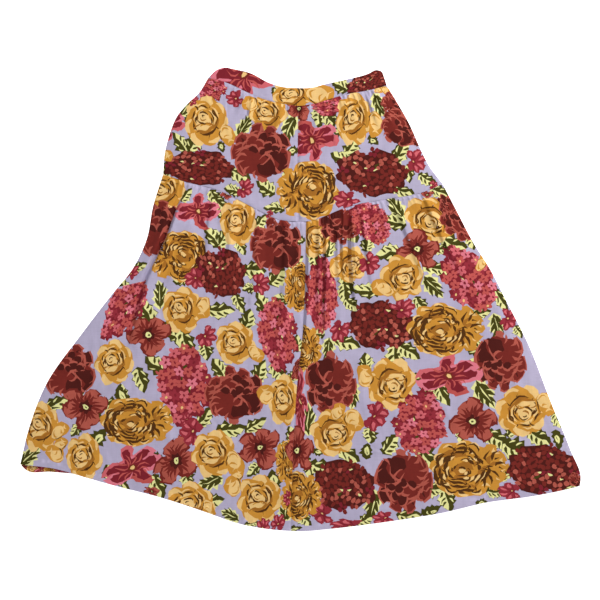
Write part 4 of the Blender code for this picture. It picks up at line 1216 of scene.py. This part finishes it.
def cut_side(outline, spots, shapes, mask=None, masked=()):
    """Triangles inside an outline, cut along every drawn edge, and the colour of each.

    The shapes in masked show only inside the mask, and the others only outside it.
    """
    loops, zones, colours = [outline], [-1], [GROUND]
    if mask is not None:
        loops.append(np.array(mask, float))
        zones.append(-1)
        colours.append(GROUND)
    for zone, group in enumerate((shapes, masked)):
        for colour, shape in group:
            loops.append(shape)
            zones.append(zone)
            colours.append(colour)
    points, faces = [], []
    for loop in loops:
        ahead = np.roll(loop, -1, 0)
        if (loop[:, 0] * ahead[:, 1] - loop[:, 1] * ahead[:, 0]).sum() < 0:
            loop = loop[::-1]
        faces.append(list(range(len(points), len(points) + len(loop))))
        points += [Vector(p) for p in loop.tolist()]
    points += [Vector(p) for p in spots.tolist()]
    made, _, triangles, _, _, sources = delaunay_2d_cdt(points, [], faces, 1, 1e-4, True)
    made = np.array([(p[0], p[1]) for p in made])
    triangles = np.array(triangles)
    centres = made[triangles].mean(axis=1)

    # A shape that crosses itself can be given to triangles far outside it, so it is told again
    owner = np.repeat(np.arange(len(triangles)), [len(source) for source in sources])
    source = np.array([s for group in sources for s in group])
    lows = np.array([loop.min(axis=0) for loop in loops])
    highs = np.array([loop.max(axis=0) for loop in loops])
    spot = centres[owner]
    stray = ((spot < lows[source] - 0.01) | (spot > highs[source] + 0.01)).any(axis=1)
    crossed = np.unique(source[stray])
    clean = ~np.isin(source, crossed)
    owners, sources = [owner[clean]], [source[clean]]
    for s in crossed:
        near = np.flatnonzero(((centres > lows[s]) & (centres < highs[s])).all(axis=1))
        near = near[inside_line(loops[s], centres[near])]
        owners.append(near)
        sources.append(np.full(len(near), s))
    owner, source = np.concatenate(owners), np.concatenate(sources)

    in_mask = np.zeros(len(triangles), int)
    if mask is not None:
        in_mask[owner[source == 1]] = 1
    shown = np.array(zones)[source] == in_mask[owner]
    top = np.zeros(len(triangles), int)
    np.maximum.at(top, owner[shown], source[shown])
    kept = np.zeros(len(triangles), bool)
    kept[owner[source == 0]] = True
    palette = sorted(set(colours))
    numbers = np.array([palette.index(colour) for colour in colours])
    flat, triangles, shades = lean_cut(made, triangles[kept], numbers[top[kept]], spots)
    return flat, triangles, [palette[k] for k in shades]


def lean_cut(flat, triangles, shades, spots):
    """The same coloured cut with no hidden edges: only borders between colours and the spots stay."""
    count = len(flat)
    edges = np.concatenate([triangles[:, (0, 1)], triangles[:, (1, 2)], triangles[:, (2, 0)]])
    owner = np.tile(np.arange(len(triangles)), 3)
    key, back = edges[:, 0] * count + edges[:, 1], edges[:, 1] * count + edges[:, 0]
    order = np.argsort(key)
    at = np.minimum(np.searchsorted(key[order], back), len(key) - 1)
    found = key[order][at] == back
    beyond = np.where(found, shades[owner[order][at]], -1)
    left = shades[owner]
    border = (left != beyond) & (~found | (edges[:, 0] < edges[:, 1]))
    links = {}
    for (a, b), one, other in zip(edges[border].tolist(), left[border].tolist(), beyond[border].tolist()):
        links.setdefault(a, {})[b] = (one, other)
        links.setdefault(b, {})[a] = (other, one)
    for middle in list(links):
        ends = links[middle]
        if len(ends) != 2:
            continue
        (a, sides), (b, _) = ends.items()
        if -1 in sides or b in links[a]:
            continue
        run, rise = flat[b] - flat[a], flat[middle] - flat[a]
        if abs(run[0] * rise[1] - run[1] * rise[0]) < 0.03 * math.hypot(*run):
            links[a][b], links[b][a] = links[a].pop(middle), links[b].pop(middle)
            del links[middle]
    names = {old: new for new, old in enumerate(links)}
    borders, sides = [], []
    for a, ends in links.items():
        for b, pair in ends.items():
            if a < b:
                borders.append((names[a], names[b]))
                sides.append(pair)
    points = [Vector(flat[k]) for k in links] + [Vector(p) for p in spots.tolist()]
    made, joins, faces, _, origins, _ = delaunay_2d_cdt(points, borders, [], 1, 1e-4, True)
    made = np.array([(p[0], p[1]) for p in made])

    # Each patch between borders takes the colour that most of its own border asks for
    known, lengths = {}, {}
    for (a, b), origin in zip(joins, origins):
        if origin:
            start, end = borders[origin[0]]
            one, other = sides[origin[0]]
            ahead = (points[end] - points[start]).dot(Vector(made[b] - made[a])) > 0
            known[a, b], known[b, a] = (one, other) if ahead else (other, one)
            lengths[a, b] = lengths[b, a] = math.dist(made[a], made[b])
    sharing = {}
    for k, face in enumerate(faces):
        for edge in zip(face, face[1:] + face[:1]):
            if edge not in known:
                sharing[edge] = k
    colour = [-1] * len(faces)
    seen = [False] * len(faces)
    for first in range(len(faces)):
        if seen[first]:
            continue
        seen[first] = True
        patch, votes = [first], {}
        for k in patch:
            for a, b in zip(faces[k], faces[k][1:] + faces[k][:1]):
                if (a, b) in known:
                    votes[known[a, b]] = votes.get(known[a, b], 0.0) + lengths[a, b]
                    continue
                beside = sharing.get((b, a), -1)
                if beside >= 0 and not seen[beside]:
                    seen[beside] = True
                    patch.append(beside)
        shade = max(votes, key=votes.get) if votes else -1
        for k in patch:
            colour[k] = shade
    inside = [k for k, shade in enumerate(colour) if shade >= 0]
    used, corners = np.unique(np.array([faces[k] for k in inside]), return_inverse=True)
    return made[used], corners.reshape(-1, 3), [colour[k] for k in inside]


def edge_loop(triangles):
    """The corner numbers round the outside of a set of triangles, in order."""
    edges = np.concatenate([triangles[:, (0, 1)], triangles[:, (1, 2)], triangles[:, (2, 0)]])
    known = {(a, b) for a, b in edges.tolist()}
    after = {a: b for a, b in known if (b, a) not in known}
    loop = [next(iter(after))]
    while len(loop) < len(after):
        loop.append(after[loop[-1]])
    if after[loop[-1]] != loop[0] or len(set(loop)) != len(loop):
        raise RuntimeError("the outline of a cloth piece isn't one closed line")
    return loop


def face_ups(sheet, points, side):
    """Directions that the cloth faces at plan points, on its upper or under side."""
    nudge = 0.35
    shares = sheet.panel.shares(points)
    here = getattr(sheet.relief(points, shares), side)
    slopes = []
    for step in ((nudge, 0.0), (0.0, nudge)):
        moved = points + step
        near = getattr(sheet.relief(moved, sheet.panel.shares(moved, shares, 2)), side)
        slopes.append((near - here) / nudge)
    ups = np.column_stack([-slopes[0], -slopes[1], np.ones(len(points))])
    ups /= np.linalg.norm(ups, axis=1)[:, None]
    return here, ups if side == "over" else -ups


def ways_out(line):
    """Level directions straight out of a closed line, at each of its points."""
    ahead = np.roll(line, -1, 0) - np.roll(line, 1, 0)
    ways = np.column_stack([ahead[:, 1], -ahead[:, 0]])
    return ways / np.linalg.norm(ways, axis=1)[:, None]


def rounded_from(loop, line, start):
    """A loop of corner numbers turned to begin nearest the start point."""
    first = int(np.argmin(((line[loop] - start) ** 2).sum(axis=1)))
    return loop[first:] + loop[:first]


def marks_along(line):
    """How far round a closed line each of its points is, from 0 to 1."""
    steps = np.hypot(*(np.roll(line, -1, 0) - line).T)
    marks = np.concatenate([[0.0], np.cumsum(steps)])
    return marks / marks[-1]


def zipped(low, low_marks, high, high_marks):
    """Triangles between two closed loops, and the place in the low loop that each one stands on."""
    triangles, owners = [], []
    a = b = 0
    while a < len(low) or b < len(high):
        low_next = low_marks[a + 1] if a < len(low) else 2.0
        high_next = high_marks[b + 1] if b < len(high) else 2.0
        foot, head = low[a % len(low)], high[b % len(high)]
        owners.append(min(a, len(low) - 1))
        if low_next <= high_next:
            triangles.append((foot, low[(a + 1) % len(low)], head))
            a += 1
        else:
            triangles.append((foot, high[(b + 1) % len(high)], head))
            b += 1
    return triangles, owners


def add_cloth(name, sheet, print_up, spots, shapes, material, mask=None, masked=(), inside_shapes=()):
    """One closed shell of cloth: its printed side, its wrong side and a rounded rim."""
    panel = sheet.panel
    outline = panel.outline(sheet.inset_sides, END_INSET, OUTLINE_STEP)
    flat, triangles, shades = cut_side(outline, spots, shapes, mask, masked)
    plain_flat, plain_triangles, plain_shades = cut_side(outline, spots, inside_shapes)
    loop = edge_loop(triangles)
    plain_loop = rounded_from(edge_loop(plain_triangles), plain_flat, flat[loop[0]])
    line, plain_line = flat[loop], plain_flat[plain_loop]
    print_side, plain_side = ("over", "under") if print_up else ("under", "over")
    heights, ups = face_ups(sheet, flat, print_side)
    plain_heights, plain_ups = face_ups(sheet, plain_flat, plain_side)
    middle = heights[loop] + 0.5 * (1 if plain_side == "over" else -1) * sheet.look.thickness / MM
    ways = ways_out(line)

    corners = np.concatenate(
        [
            np.column_stack([flat, heights]),
            np.column_stack([plain_flat, plain_heights]),
            np.column_stack([line + ways * RIM_BULGE, middle]),
        ]
    )
    normals = np.concatenate([ups, plain_ups, np.column_stack([ways, np.zeros(len(line))])])
    ids = [len(flat) + k for k in plain_loop]
    rim_ids = list(range(len(flat) + len(plain_flat), len(corners)))
    ahead = loop[1:] + loop[:1]
    rim_ahead = rim_ids[1:] + rim_ids[:1]
    print_strip = list(zip(rim_ids, rim_ahead, ahead, loop))
    plain_strip, owners = zipped(rim_ids, marks_along(line), ids, marks_along(plain_line))
    print_faces, plain_faces = triangles, plain_triangles[:, ::-1] + len(flat)
    if print_up:
        plain_strip = [face[::-1] for face in plain_strip]
    else:
        print_faces, plain_faces = print_faces[:, ::-1], plain_faces[:, ::-1]
        print_strip = [face[::-1] for face in print_strip]

    mesh = bpy.data.meshes.new(name)
    faces = print_faces.tolist() + plain_faces.tolist() + print_strip + plain_strip
    mesh.from_pydata((corners * MM).tolist(), [], faces)
    loop_shades = [shades[k] for k in rim_shades(triangles, loop)]
    plain_shades = [WRONG_SIDE if shade is GROUND else shade for shade in plain_shades]
    colour_faces(mesh, shades + plain_shades + loop_shades + [loop_shades[k] for k in owners])
    spread = corners[:, :2].copy()
    spread[ids] += 0.9 * ways_out(plain_line)
    spread[rim_ids] = line + 0.45 * ways
    map_faces(mesh, corners[:, :2], spread, len(print_faces), len(plain_faces))
    mesh.shade_smooth()
    mesh.materials.append(material)
    mesh.normals_split_custom_set_from_vertices(normals.tolist())
    piece = bpy.data.objects.new(name, mesh)
    bpy.context.scene.collection.objects.link(piece)
    return piece


def rim_shades(triangles, loop):
    """For each edge of the outline, the triangle that it belongs to."""
    owner = {}
    for k, (a, b, c) in enumerate(triangles.tolist()):
        owner[(a, b)] = owner[(b, c)] = owner[(c, a)] = k
    return [owner[(a, b)] for a, b in zip(loop, loop[1:] + loop[:1])]


def colour_faces(mesh, shades):
    """Stores the print on the faces as a colour attribute."""
    known = {shade: linear(shade) for shade in set(shades)}
    attribute = mesh.attributes.new(PRINT, "FLOAT_COLOR", "FACE")
    attribute.data.foreach_set("color", np.array([known[shade] for shade in shades], np.float32).ravel())


def map_faces(mesh, plan, spread, print_faces, plain_faces):
    """A flat map of the piece: the printed side large, the rim round it, the wrong side small."""
    low, high = plan.min(axis=0), plan.max(axis=0)
    size = high - low
    tall = size[0] < 1.6 * size[1]
    scale = min(0.72 / size[0], 0.97 / size[1]) if tall else min(0.97 / size[0], 0.7 / size[1])
    small = 0.25
    corner = (0.985 - size[0] * scale * small, 0.015) if tall else (0.015, 0.985 - size[1] * scale * small)
    corner_ids = np.zeros(len(mesh.loops), np.int32)
    mesh.loops.foreach_get("vertex_index", corner_ids)
    maps = 0.015 + (spread[corner_ids] - low) * scale
    plain = slice(3 * print_faces, 3 * (print_faces + plain_faces))
    maps[plain] = corner + (plan[corner_ids[plain]] - low) * scale * small
    layer = mesh.uv_layers.new(name=BAKE_MAP)
    layer.data.foreach_set("uv", maps.astype(np.float32).ravel())


def linear(shade):
    """A print colour, from 0 to 255, as the linear red, green, blue and alpha that Blender uses."""
    parts = [c / 255.0 for c in shade]
    return tuple(c / 12.92 if c <= 0.04045 else ((c + 0.055) / 1.055) ** 2.4 for c in parts) + (1.0,)


def add_socket(group, name, kind, direction, value=None):
    """One named input or output of a shader node group."""
    socket = group.interface.new_socket(name=name, in_out=direction, socket_type=kind)
    if value is not None:
        socket.default_value = value
    return socket


def printed_cotton_group():
    """Fading, slubs and weave that every printed cotton shares, as colour, roughness and height."""
    known = bpy.data.node_groups.get("printed cotton surface")
    if known:
        return known
    group = bpy.data.node_groups.new("printed cotton surface", "ShaderNodeTree")
    add_socket(group, "Print", "NodeSocketColor", "INPUT", (0.5, 0.5, 0.5, 1.0))
    add_socket(group, "Fading", "NodeSocketFloat", "INPUT", 0.12)
    add_socket(group, "Slubs", "NodeSocketFloat", "INPUT", 0.12)
    add_socket(group, "Threads per metre", "NodeSocketFloat", "INPUT", 1700.0)
    add_socket(group, "Colour", "NodeSocketColor", "OUTPUT")
    add_socket(group, "Roughness", "NodeSocketFloat", "OUTPUT")
    add_socket(group, "Height", "NodeSocketFloat", "OUTPUT")
    nodes, links = group.nodes, group.links
    entry = nodes.new("NodeGroupInput")
    leave = nodes.new("NodeGroupOutput")
    places = nodes.new("ShaderNodeTexCoord")

    def noise(scale, detail, stretch):
        """A noise over the cloth, stretched along it."""
        mapping = nodes.new("ShaderNodeMapping")
        mapping.inputs["Scale"].default_value = stretch
        links.new(places.outputs["Object"], mapping.inputs["Vector"])
        texture = nodes.new("ShaderNodeTexNoise")
        texture.inputs["Scale"].default_value = scale
        texture.inputs["Detail"].default_value = detail
        links.new(mapping.outputs["Vector"], texture.inputs["Vector"])
        return texture.outputs["Fac"]

    def maths(kind, first, second):
        """One calculation on two values, each a socket or a number."""
        node = nodes.new("ShaderNodeMath")
        node.operation = kind
        for slot, value in zip(node.inputs, (first, second)):
            if isinstance(value, (int, float)):
                slot.default_value = value
            else:
                links.new(value, slot)
        return node.outputs[0]

    upright = noise(420.0, 3.0, (1.0, 0.09, 1.0))
    level = noise(420.0, 3.0, (0.09, 1.0, 1.0))
    worn = noise(34.0, 4.0, (1.0, 1.0, 1.0))
    wide = noise(7.0, 2.0, (1.0, 1.0, 1.0))
    slubs = maths("SUBTRACT", maths("ADD", upright, level), 1.0)
    fade = maths("ADD", maths("SUBTRACT", worn, 0.5), maths("MULTIPLY", maths("SUBTRACT", wide, 0.5), 0.6))
    tone = maths("ADD", maths("MULTIPLY", slubs, entry.outputs["Slubs"]), 1.0)
    tone = maths("ADD", tone, maths("MULTIPLY", fade, entry.outputs["Fading"]))
    shade = nodes.new("ShaderNodeVectorMath")
    shade.operation = "SCALE"
    links.new(entry.outputs["Print"], shade.inputs[0])
    links.new(tone, shade.inputs["Scale"])
    links.new(shade.outputs["Vector"], leave.inputs["Colour"])

    split = nodes.new("ShaderNodeSeparateXYZ")
    links.new(places.outputs["Object"], split.inputs[0])
    threads = []
    for axis in ("X", "Y"):
        turns = maths("MULTIPLY", split.outputs[axis], entry.outputs["Threads per metre"])
        threads.append(maths("SINE", maths("MULTIPLY", turns, 2 * math.pi), 0.0))
    weave = maths("MULTIPLY", maths("MULTIPLY", threads[0], threads[1]), 0.25)
    links.new(maths("ADD", maths("ADD", weave, slubs), maths("MULTIPLY", worn, 0.8)), leave.inputs["Height"])
    links.new(maths("ADD", maths("MULTIPLY", slubs, 0.1), 0.86), leave.inputs["Roughness"])
    return group


def cotton(name, fading, slubs, threads, relief):
    """Printed cotton with its own fading, slubs and weave."""
    material = bpy.data.materials.new(name)
    material.use_nodes = True
    nodes, links = material.node_tree.nodes, material.node_tree.links
    shader = nodes["Principled BSDF"]
    shader.inputs["Sheen Weight"].default_value = 0.02
    shader.inputs["Sheen Roughness"].default_value = 0.5
    shader.inputs["Specular IOR Level"].default_value = 0.1
    print_colour = nodes.new("ShaderNodeAttribute")
    print_colour.attribute_name = PRINT
    surface = nodes.new("ShaderNodeGroup")
    surface.node_tree = printed_cotton_group()
    surface.inputs["Fading"].default_value = fading
    surface.inputs["Slubs"].default_value = slubs
    surface.inputs["Threads per metre"].default_value = threads
    bump = nodes.new("ShaderNodeBump")
    bump.inputs["Strength"].default_value = 0.5
    bump.inputs["Distance"].default_value = relief
    links.new(print_colour.outputs["Color"], surface.inputs["Print"])
    links.new(surface.outputs["Colour"], shader.inputs["Base Color"])
    links.new(surface.outputs["Roughness"], shader.inputs["Roughness"])
    links.new(surface.outputs["Height"], bump.inputs["Height"])
    links.new(bump.outputs["Normal"], shader.inputs["Normal"])
    return material


def skirt_cotton():
    """The cotton of both tiers."""
    name = "skirt cotton"
    return bpy.data.materials.get(name) or cotton(name, 0.20, 0.15, THREADS_PER_METRE, 0.00025)


def band_cotton():
    """The same cotton, doubled and pressed in the waistband."""
    name = "waistband cotton"
    return bpy.data.materials.get(name) or cotton(name, 0.14, 0.14, THREADS_PER_METRE, 0.0002)


def backdrop_white():
    """Matt near-white paper for the floor."""
    material = bpy.data.materials.new("pale floor")
    material.use_nodes = True
    nodes, links = material.node_tree.nodes, material.node_tree.links
    shader = nodes["Principled BSDF"]
    shader.inputs["Roughness"].default_value = 0.95
    shader.inputs["Specular IOR Level"].default_value = 0.1
    shader.inputs["Emission Strength"].default_value = FLOOR_GLOW
    shader.inputs["Emission Color"].default_value = (1.0, 1.0, 1.0, 1.0)
    tone = nodes.new("ShaderNodeTexNoise")
    tone.inputs["Scale"].default_value = 2.0
    ramp = nodes.new("ShaderNodeValToRGB")
    ramp.color_ramp.elements[0].color = (0.90, 0.90, 0.905, 1.0)
    ramp.color_ramp.elements[1].color = (0.93, 0.93, 0.93, 1.0)
    places = nodes.new("ShaderNodeTexCoord")
    links.new(places.outputs["Object"], tone.inputs["Vector"])
    links.new(tone.outputs["Fac"], ramp.inputs["Fac"])
    links.new(ramp.outputs["Color"], shader.inputs["Base Color"])
    return material


def join_skirt(piece, node):
    """Hangs a finished piece on the root body and hides the frame part that it stands for."""
    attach(piece, "root")
    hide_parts(node)


def waist_line():
    """The seam between the waistband and the upper tier."""
    return joined(WAIST_LEFT, WAIST_RIGHT)


def band_panel():
    """The shaped waistband."""
    return Panel(joined(BAND_TOP_LEFT, BAND_TOP_RIGHT), waist_line(), BAND_LEFT_END, BAND_RIGHT_END)


def tier_seam():
    """The seam between the two tiers."""
    return joined(TIER_SEAM_LEFT, TIER_SEAM_MIDDLE, TIER_SEAM_RIGHT)


def past_corner(place):
    """0 at the left corner, where the back's hem shows, up to 1 where the front covers it."""
    return float(smooth_step((place.x - PEEP_FROM_X) / (PEEP_TO_X - PEEP_FROM_X)))


def back_hem():
    """The back hem, tucked behind the front hem and showing below it at the left corner."""
    places = []
    for place in joined(HEM_LEFT, HEM_RIGHT):
        lift = -BACK_HEM_PEEP + (BACK_HEM_PEEP + BACK_HEM_TUCK) * past_corner(place)
        places.append(Place(place.x, place.y + lift))
    places[0], places[-1] = HEM_LEFT[0], HEM_RIGHT[-1]
    return tuple(places)


def front_hem():
    """The left front's hem, drawn up at its corner so that the back's turned hem shows below it."""
    places = []
    for place in HEM_LEFT:
        lift = FRONT_HEM_LIFT * (1 - past_corner(place))
        places.append(Place(place.x, place.y + lift))
    places[0] = HEM_LEFT[0]
    return tuple(places)


def shapes_over(panel, chart):
    """The drawn shapes of a chart that reach a panel."""
    line = panel.outline(0, 0, 20.0)
    return motif_shapes(chart, line.min(axis=0), line.max(axis=0))


def front_spots(panel, folds, creases, depth):
    """All the points that a front piece's relief needs."""
    even = spread_spots(panel, 5.0, 11)
    return np.concatenate([even, fold_spots(panel, folds), crease_spots(creases), gather_spots(panel, depth)])


def make_fronts(tier, pieces, hem, depth, look):
    """Both front pieces of one tier, the left one first."""
    for side_at, row in enumerate(pieces):
        side, panel, folds, creases, seed, chart, mask, masked = row
        sheet = FrontTier(panel, side_at, folds, creases, seed, hem, look)
        piece = add_cloth(
            tier + "_front_" + side + "_cloth", sheet, True, front_spots(panel, folds, creases, depth),
            shapes_over(panel, chart), skirt_cotton(), mask, shapes_over(panel, masked),
        )
        node = tier + "_tier_front_" + side
        join_skirt(piece, node)


def back_chart():
    """The back's print: a small group of flowers repeated in half-dropped columns."""
    wide, tall = BACK_REPEAT_SIZE
    chart = []
    for column in range(-3, 4):
        for row in range(-3, 4):
            shift_x = column * wide
            shift_y = row * tall + (column % 2) * tall / 2
            for motif, x, y, turn, breadth, height in BACK_GROUP:
                chart.append((motif, shift_x + x, shift_y + y, turn, breadth, height))
    return sorted(chart, key=lambda row: 0 if row[0] in LEAVES else 1)


class SkirtSizes(bpy.types.PropertyGroup):
    """Sizes of the cloth that a user may change."""

    thickness: bpy.props.FloatProperty(
        name="Cloth thickness", description="Thickness of one layer of cotton",
        default=0.0007, min=0.0004, max=0.0012, subtype="DISTANCE", unit="LENGTH",
    )
    hem: bpy.props.FloatProperty(
        name="Hem width", description="Width of the turned hem",
        default=0.010, min=0.005, max=0.02, subtype="DISTANCE", unit="LENGTH",
    )
    folds: bpy.props.FloatProperty(
        name="Fold height", description="Height of the main folds, as a share of the ones shown",
        default=1.0, min=0.3, max=1.1, subtype="FACTOR",
    )
    gathers: bpy.props.FloatProperty(
        name="Gather height", description="Height of the tallest small gather below a seam",
        default=0.0032, min=0.0, max=0.005, subtype="DISTANCE", unit="LENGTH",
    )
    crinkle: bpy.props.FloatProperty(
        name="Crinkle height", description="Height of the soft relief of worn cotton",
        default=0.0007, min=0.0, max=0.0012, subtype="DISTANCE", unit="LENGTH",
    )


class SkirtStage(bpy.types.PropertyGroup):
    """Floor, light and camera of the picture."""

    camera_height: bpy.props.FloatProperty(
        name="Camera height", description="Height of the camera straight above the skirt",
        default=2.6, min=1.5, max=6.0, subtype="DISTANCE", unit="LENGTH",
    )
    picture_width: bpy.props.FloatProperty(
        name="Picture width", description="Width of the floor that the picture takes in",
        default=1.086, min=0.8, max=2.0, subtype="DISTANCE", unit="LENGTH",
    )
    main_light: bpy.props.FloatProperty(
        name="Main light", description="Power of the soft light at the upper right",
        default=123.0, min=0.0, max=400.0, unit="POWER",
    )
    floor_size: bpy.props.FloatProperty(
        name="Floor size", description="Width of the pale floor",
        default=6.0, min=2.0, max=20.0, subtype="DISTANCE", unit="LENGTH",
    )


class SKIRT_OT_waistband(bpy.types.Operator):
    """Make both sides of the waistband"""

    bl_idname = "skirt.waistband"
    bl_label = "Waistband"
    bl_options = {"REGISTER", "UNDO"}

    def execute(self, context):
        look = context.scene.skirt_sizes
        panel = band_panel()
        spots = spread_spots(panel, 3.2, 21)
        back = add_cloth(
            "waistband_back_cloth", Band(panel, False, look), False, spots,
            shapes_over(panel, back_chart()), band_cotton(),
        )
        join_skirt(back, "waistband_back")
        front = add_cloth(
            "waistband_front_cloth", Band(panel, True, look), True, spots,
            shapes_over(panel, BAND_PRINT), band_cotton(),
        )
        join_skirt(front, "waistband_front")
        return {"FINISHED"}


class SKIRT_OT_upper_back(bpy.types.Operator):
    """Make the back of the upper tier"""

    bl_idname = "skirt.upper_back"
    bl_label = "Upper tier, back"
    bl_options = {"REGISTER", "UNDO"}

    def execute(self, context):
        panel = Panel(waist_line(), tier_seam(), LEFT_UPPER, RIGHT_UPPER)
        sheet = BackTier(panel, UPPER_BACK_FOLDS, UPPER_BACK_CREASES, 41, False, context.scene.skirt_sizes)
        spots = np.concatenate([spread_spots(panel, 6.0, 22), gather_spots(panel, 14.0)])
        piece = add_cloth(
            "upper_back_cloth", sheet, False, spots, shapes_over(panel, back_chart()), skirt_cotton()
        )
        join_skirt(piece, "upper_tier_back")
        return {"FINISHED"}


class SKIRT_OT_lower_back(bpy.types.Operator):
    """Make the back of the lower tier, whose turned hem shows at the left corner"""

    bl_idname = "skirt.lower_back"
    bl_label = "Lower tier, back"
    bl_options = {"REGISTER", "UNDO"}

    def execute(self, context):
        panel = Panel(tier_seam(), back_hem(), LEFT_LOWER, RIGHT_LOWER)
        sheet = BackTier(panel, LOWER_BACK_FOLDS, LOWER_BACK_CREASES, 42, True, context.scene.skirt_sizes)
        spots = np.concatenate([spread_spots(panel, 7.0, 23), gather_spots(panel, 14.0)])
        piece = add_cloth(
            "lower_back_cloth", sheet, False, spots, shapes_over(panel, back_chart()), skirt_cotton(),
            inside_shapes=motif_shapes(HEM_TURN_PRINT, (-600, -500), (600, 500)),
        )
        join_skirt(piece, "lower_tier_back")
        return {"FINISHED"}


class SKIRT_OT_upper_front(bpy.types.Operator):
    """Make the two front pieces of the upper tier"""

    bl_idname = "skirt.upper_front"
    bl_label = "Upper tier, front"
    bl_options = {"REGISTER", "UNDO"}

    def execute(self, context):
        left = Panel(WAIST_LEFT, TIER_SEAM_LEFT, LEFT_UPPER, CENTRE_UPPER)
        right = Panel(WAIST_RIGHT, joined(TIER_SEAM_MIDDLE, TIER_SEAM_RIGHT), CENTRE_UPPER, RIGHT_UPPER)
        pieces = (
            ("left", left, UPPER_LEFT_FOLDS, UPPER_LEFT_CREASES, 51, UPPER_LEFT_PRINT, None, ()),
            ("right", right, UPPER_RIGHT_FOLDS, UPPER_RIGHT_CREASES, 52, UPPER_RIGHT_PRINT, None, ()),
        )
        make_fronts("upper", pieces, False, 30.0, context.scene.skirt_sizes)
        return {"FINISHED"}


class SKIRT_OT_lower_front(bpy.types.Operator):
    """Make the two front pieces of the lower tier"""

    bl_idname = "skirt.lower_front"
    bl_label = "Lower tier, front"
    bl_options = {"REGISTER", "UNDO"}

    def execute(self, context):
        left = Panel(joined(TIER_SEAM_LEFT, TIER_SEAM_MIDDLE), front_hem(), LEFT_LOWER, CENTRE_LOWER)
        right = Panel(TIER_SEAM_RIGHT, HEM_RIGHT, CENTRE_LOWER, RIGHT_LOWER)
        pieces = (
            (
                "left", left, LOWER_LEFT_FOLDS, LOWER_LEFT_CREASES, 53, LOWER_LEFT_PRINT,
                FOLD_SIDE, FOLD_SIDE_PRINT,
            ),
            ("right", right, LOWER_RIGHT_FOLDS, LOWER_RIGHT_CREASES, 54, LOWER_RIGHT_PRINT, None, ()),
        )
        make_fronts("lower", pieces, True, 44.0, context.scene.skirt_sizes)
        return {"FINISHED"}


class SKIRT_OT_stage(bpy.types.Operator):
    """Make the pale floor, the soft light and the camera straight above"""

    bl_idname = "skirt.stage"
    bl_label = "Floor, light and camera"
    bl_options = {"REGISTER", "UNDO"}

    def execute(self, context):
        scene = context.scene
        stage = scene.skirt_stage
        bpy.ops.object.select_all(action="DESELECT")
        bpy.ops.mesh.primitive_plane_add(size=stage.floor_size, location=(0.0, 0.0, -0.0004))
        floor = context.object
        floor.name = "floor"
        floor.data.materials.append(backdrop_white())

        key = stage.main_light
        lights = (
            ("softbox at the upper right", (2.2, 2.2, 2.1), (0.0, 0.0, 0.0), 0.7, key, (1.0, 0.99, 0.97)),
            ("overhead panel", (-0.9, 0.2, 3.2), (-0.2, 0.1, 0.0), 2.2, key * 0.26, (1.0, 1.0, 1.0)),
        )
        for name, place, aim, size, power, colour in lights:
            data = bpy.data.lights.new(name, "AREA")
            data.shape = "SQUARE"
            data.size = size
            data.energy = power
            data.color = colour
            lamp = bpy.data.objects.new(name, data)
            lamp.location = place
            lamp.rotation_euler = (Vector(aim) - Vector(place)).to_track_quat("-Z", "Y").to_euler()
            scene.collection.objects.link(lamp)

        world = bpy.data.worlds.new("even room light")
        world.use_nodes = True
        world.node_tree.nodes["Background"].inputs["Color"].default_value = (1.0, 1.0, 1.0, 1.0)
        world.node_tree.nodes["Background"].inputs["Strength"].default_value = ROOM_LIGHT
        scene.world = world

        data = bpy.data.cameras.new("camera above")
        data.sensor_width = 36.0
        data.angle = 2 * math.atan(stage.picture_width / 2 / stage.camera_height)
        data.dof.use_dof = False
        camera = bpy.data.objects.new("camera above", data)
        camera.location = (PICTURE_CENTRE[0], PICTURE_CENTRE[1], stage.camera_height + 0.003)
        scene.collection.objects.link(camera)
        scene.camera = camera
        scene.view_settings.view_transform = "Standard"
        return {"FINISHED"}


class SKIRT_PT_panel(bpy.types.Panel):
    """Lists the skirt's pieces and their sizes"""

    bl_label = "Tiered midi skirt"
    bl_idname = "SKIRT_PT_panel"
    bl_space_type = "VIEW_3D"
    bl_region_type = "UI"
    bl_category = "Skirt"

    def draw(self, context):
        layout = self.layout
        for group in (context.scene.skirt_sizes, context.scene.skirt_stage):
            box = layout.box()
            for name in group.bl_rna.properties.keys():
                if name not in ("rna_type", "name"):
                    box.prop(group, name)
        for step in STEPS:
            layout.operator(step.bl_idname)


STEPS = (
    SKIRT_OT_lower_back, SKIRT_OT_upper_back, SKIRT_OT_waistband, SKIRT_OT_lower_front, SKIRT_OT_upper_front,
    SKIRT_OT_stage,
)
CLASSES = (SkirtSizes, SkirtStage) + STEPS + (SKIRT_PT_panel,)


def register():
    for item in CLASSES:
        bpy.utils.register_class(item)
    bpy.types.Scene.skirt_sizes = bpy.props.PointerProperty(type=SkirtSizes)
    bpy.types.Scene.skirt_stage = bpy.props.PointerProperty(type=SkirtStage)


def unregister():
    del bpy.types.Scene.skirt_stage
    del bpy.types.Scene.skirt_sizes
    for item in reversed(CLASSES):
        bpy.utils.unregister_class(item)


def main():
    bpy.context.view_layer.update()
    register()
    bpy.ops.object.select_all(action="DESELECT")
    bpy.ops.skirt.lower_back()
    bpy.ops.skirt.upper_back()
    bpy.ops.skirt.waistband()
    bpy.ops.skirt.lower_front()
    bpy.ops.skirt.upper_front()
    bpy.ops.skirt.stage()


if __name__ == "__main__":
    main()
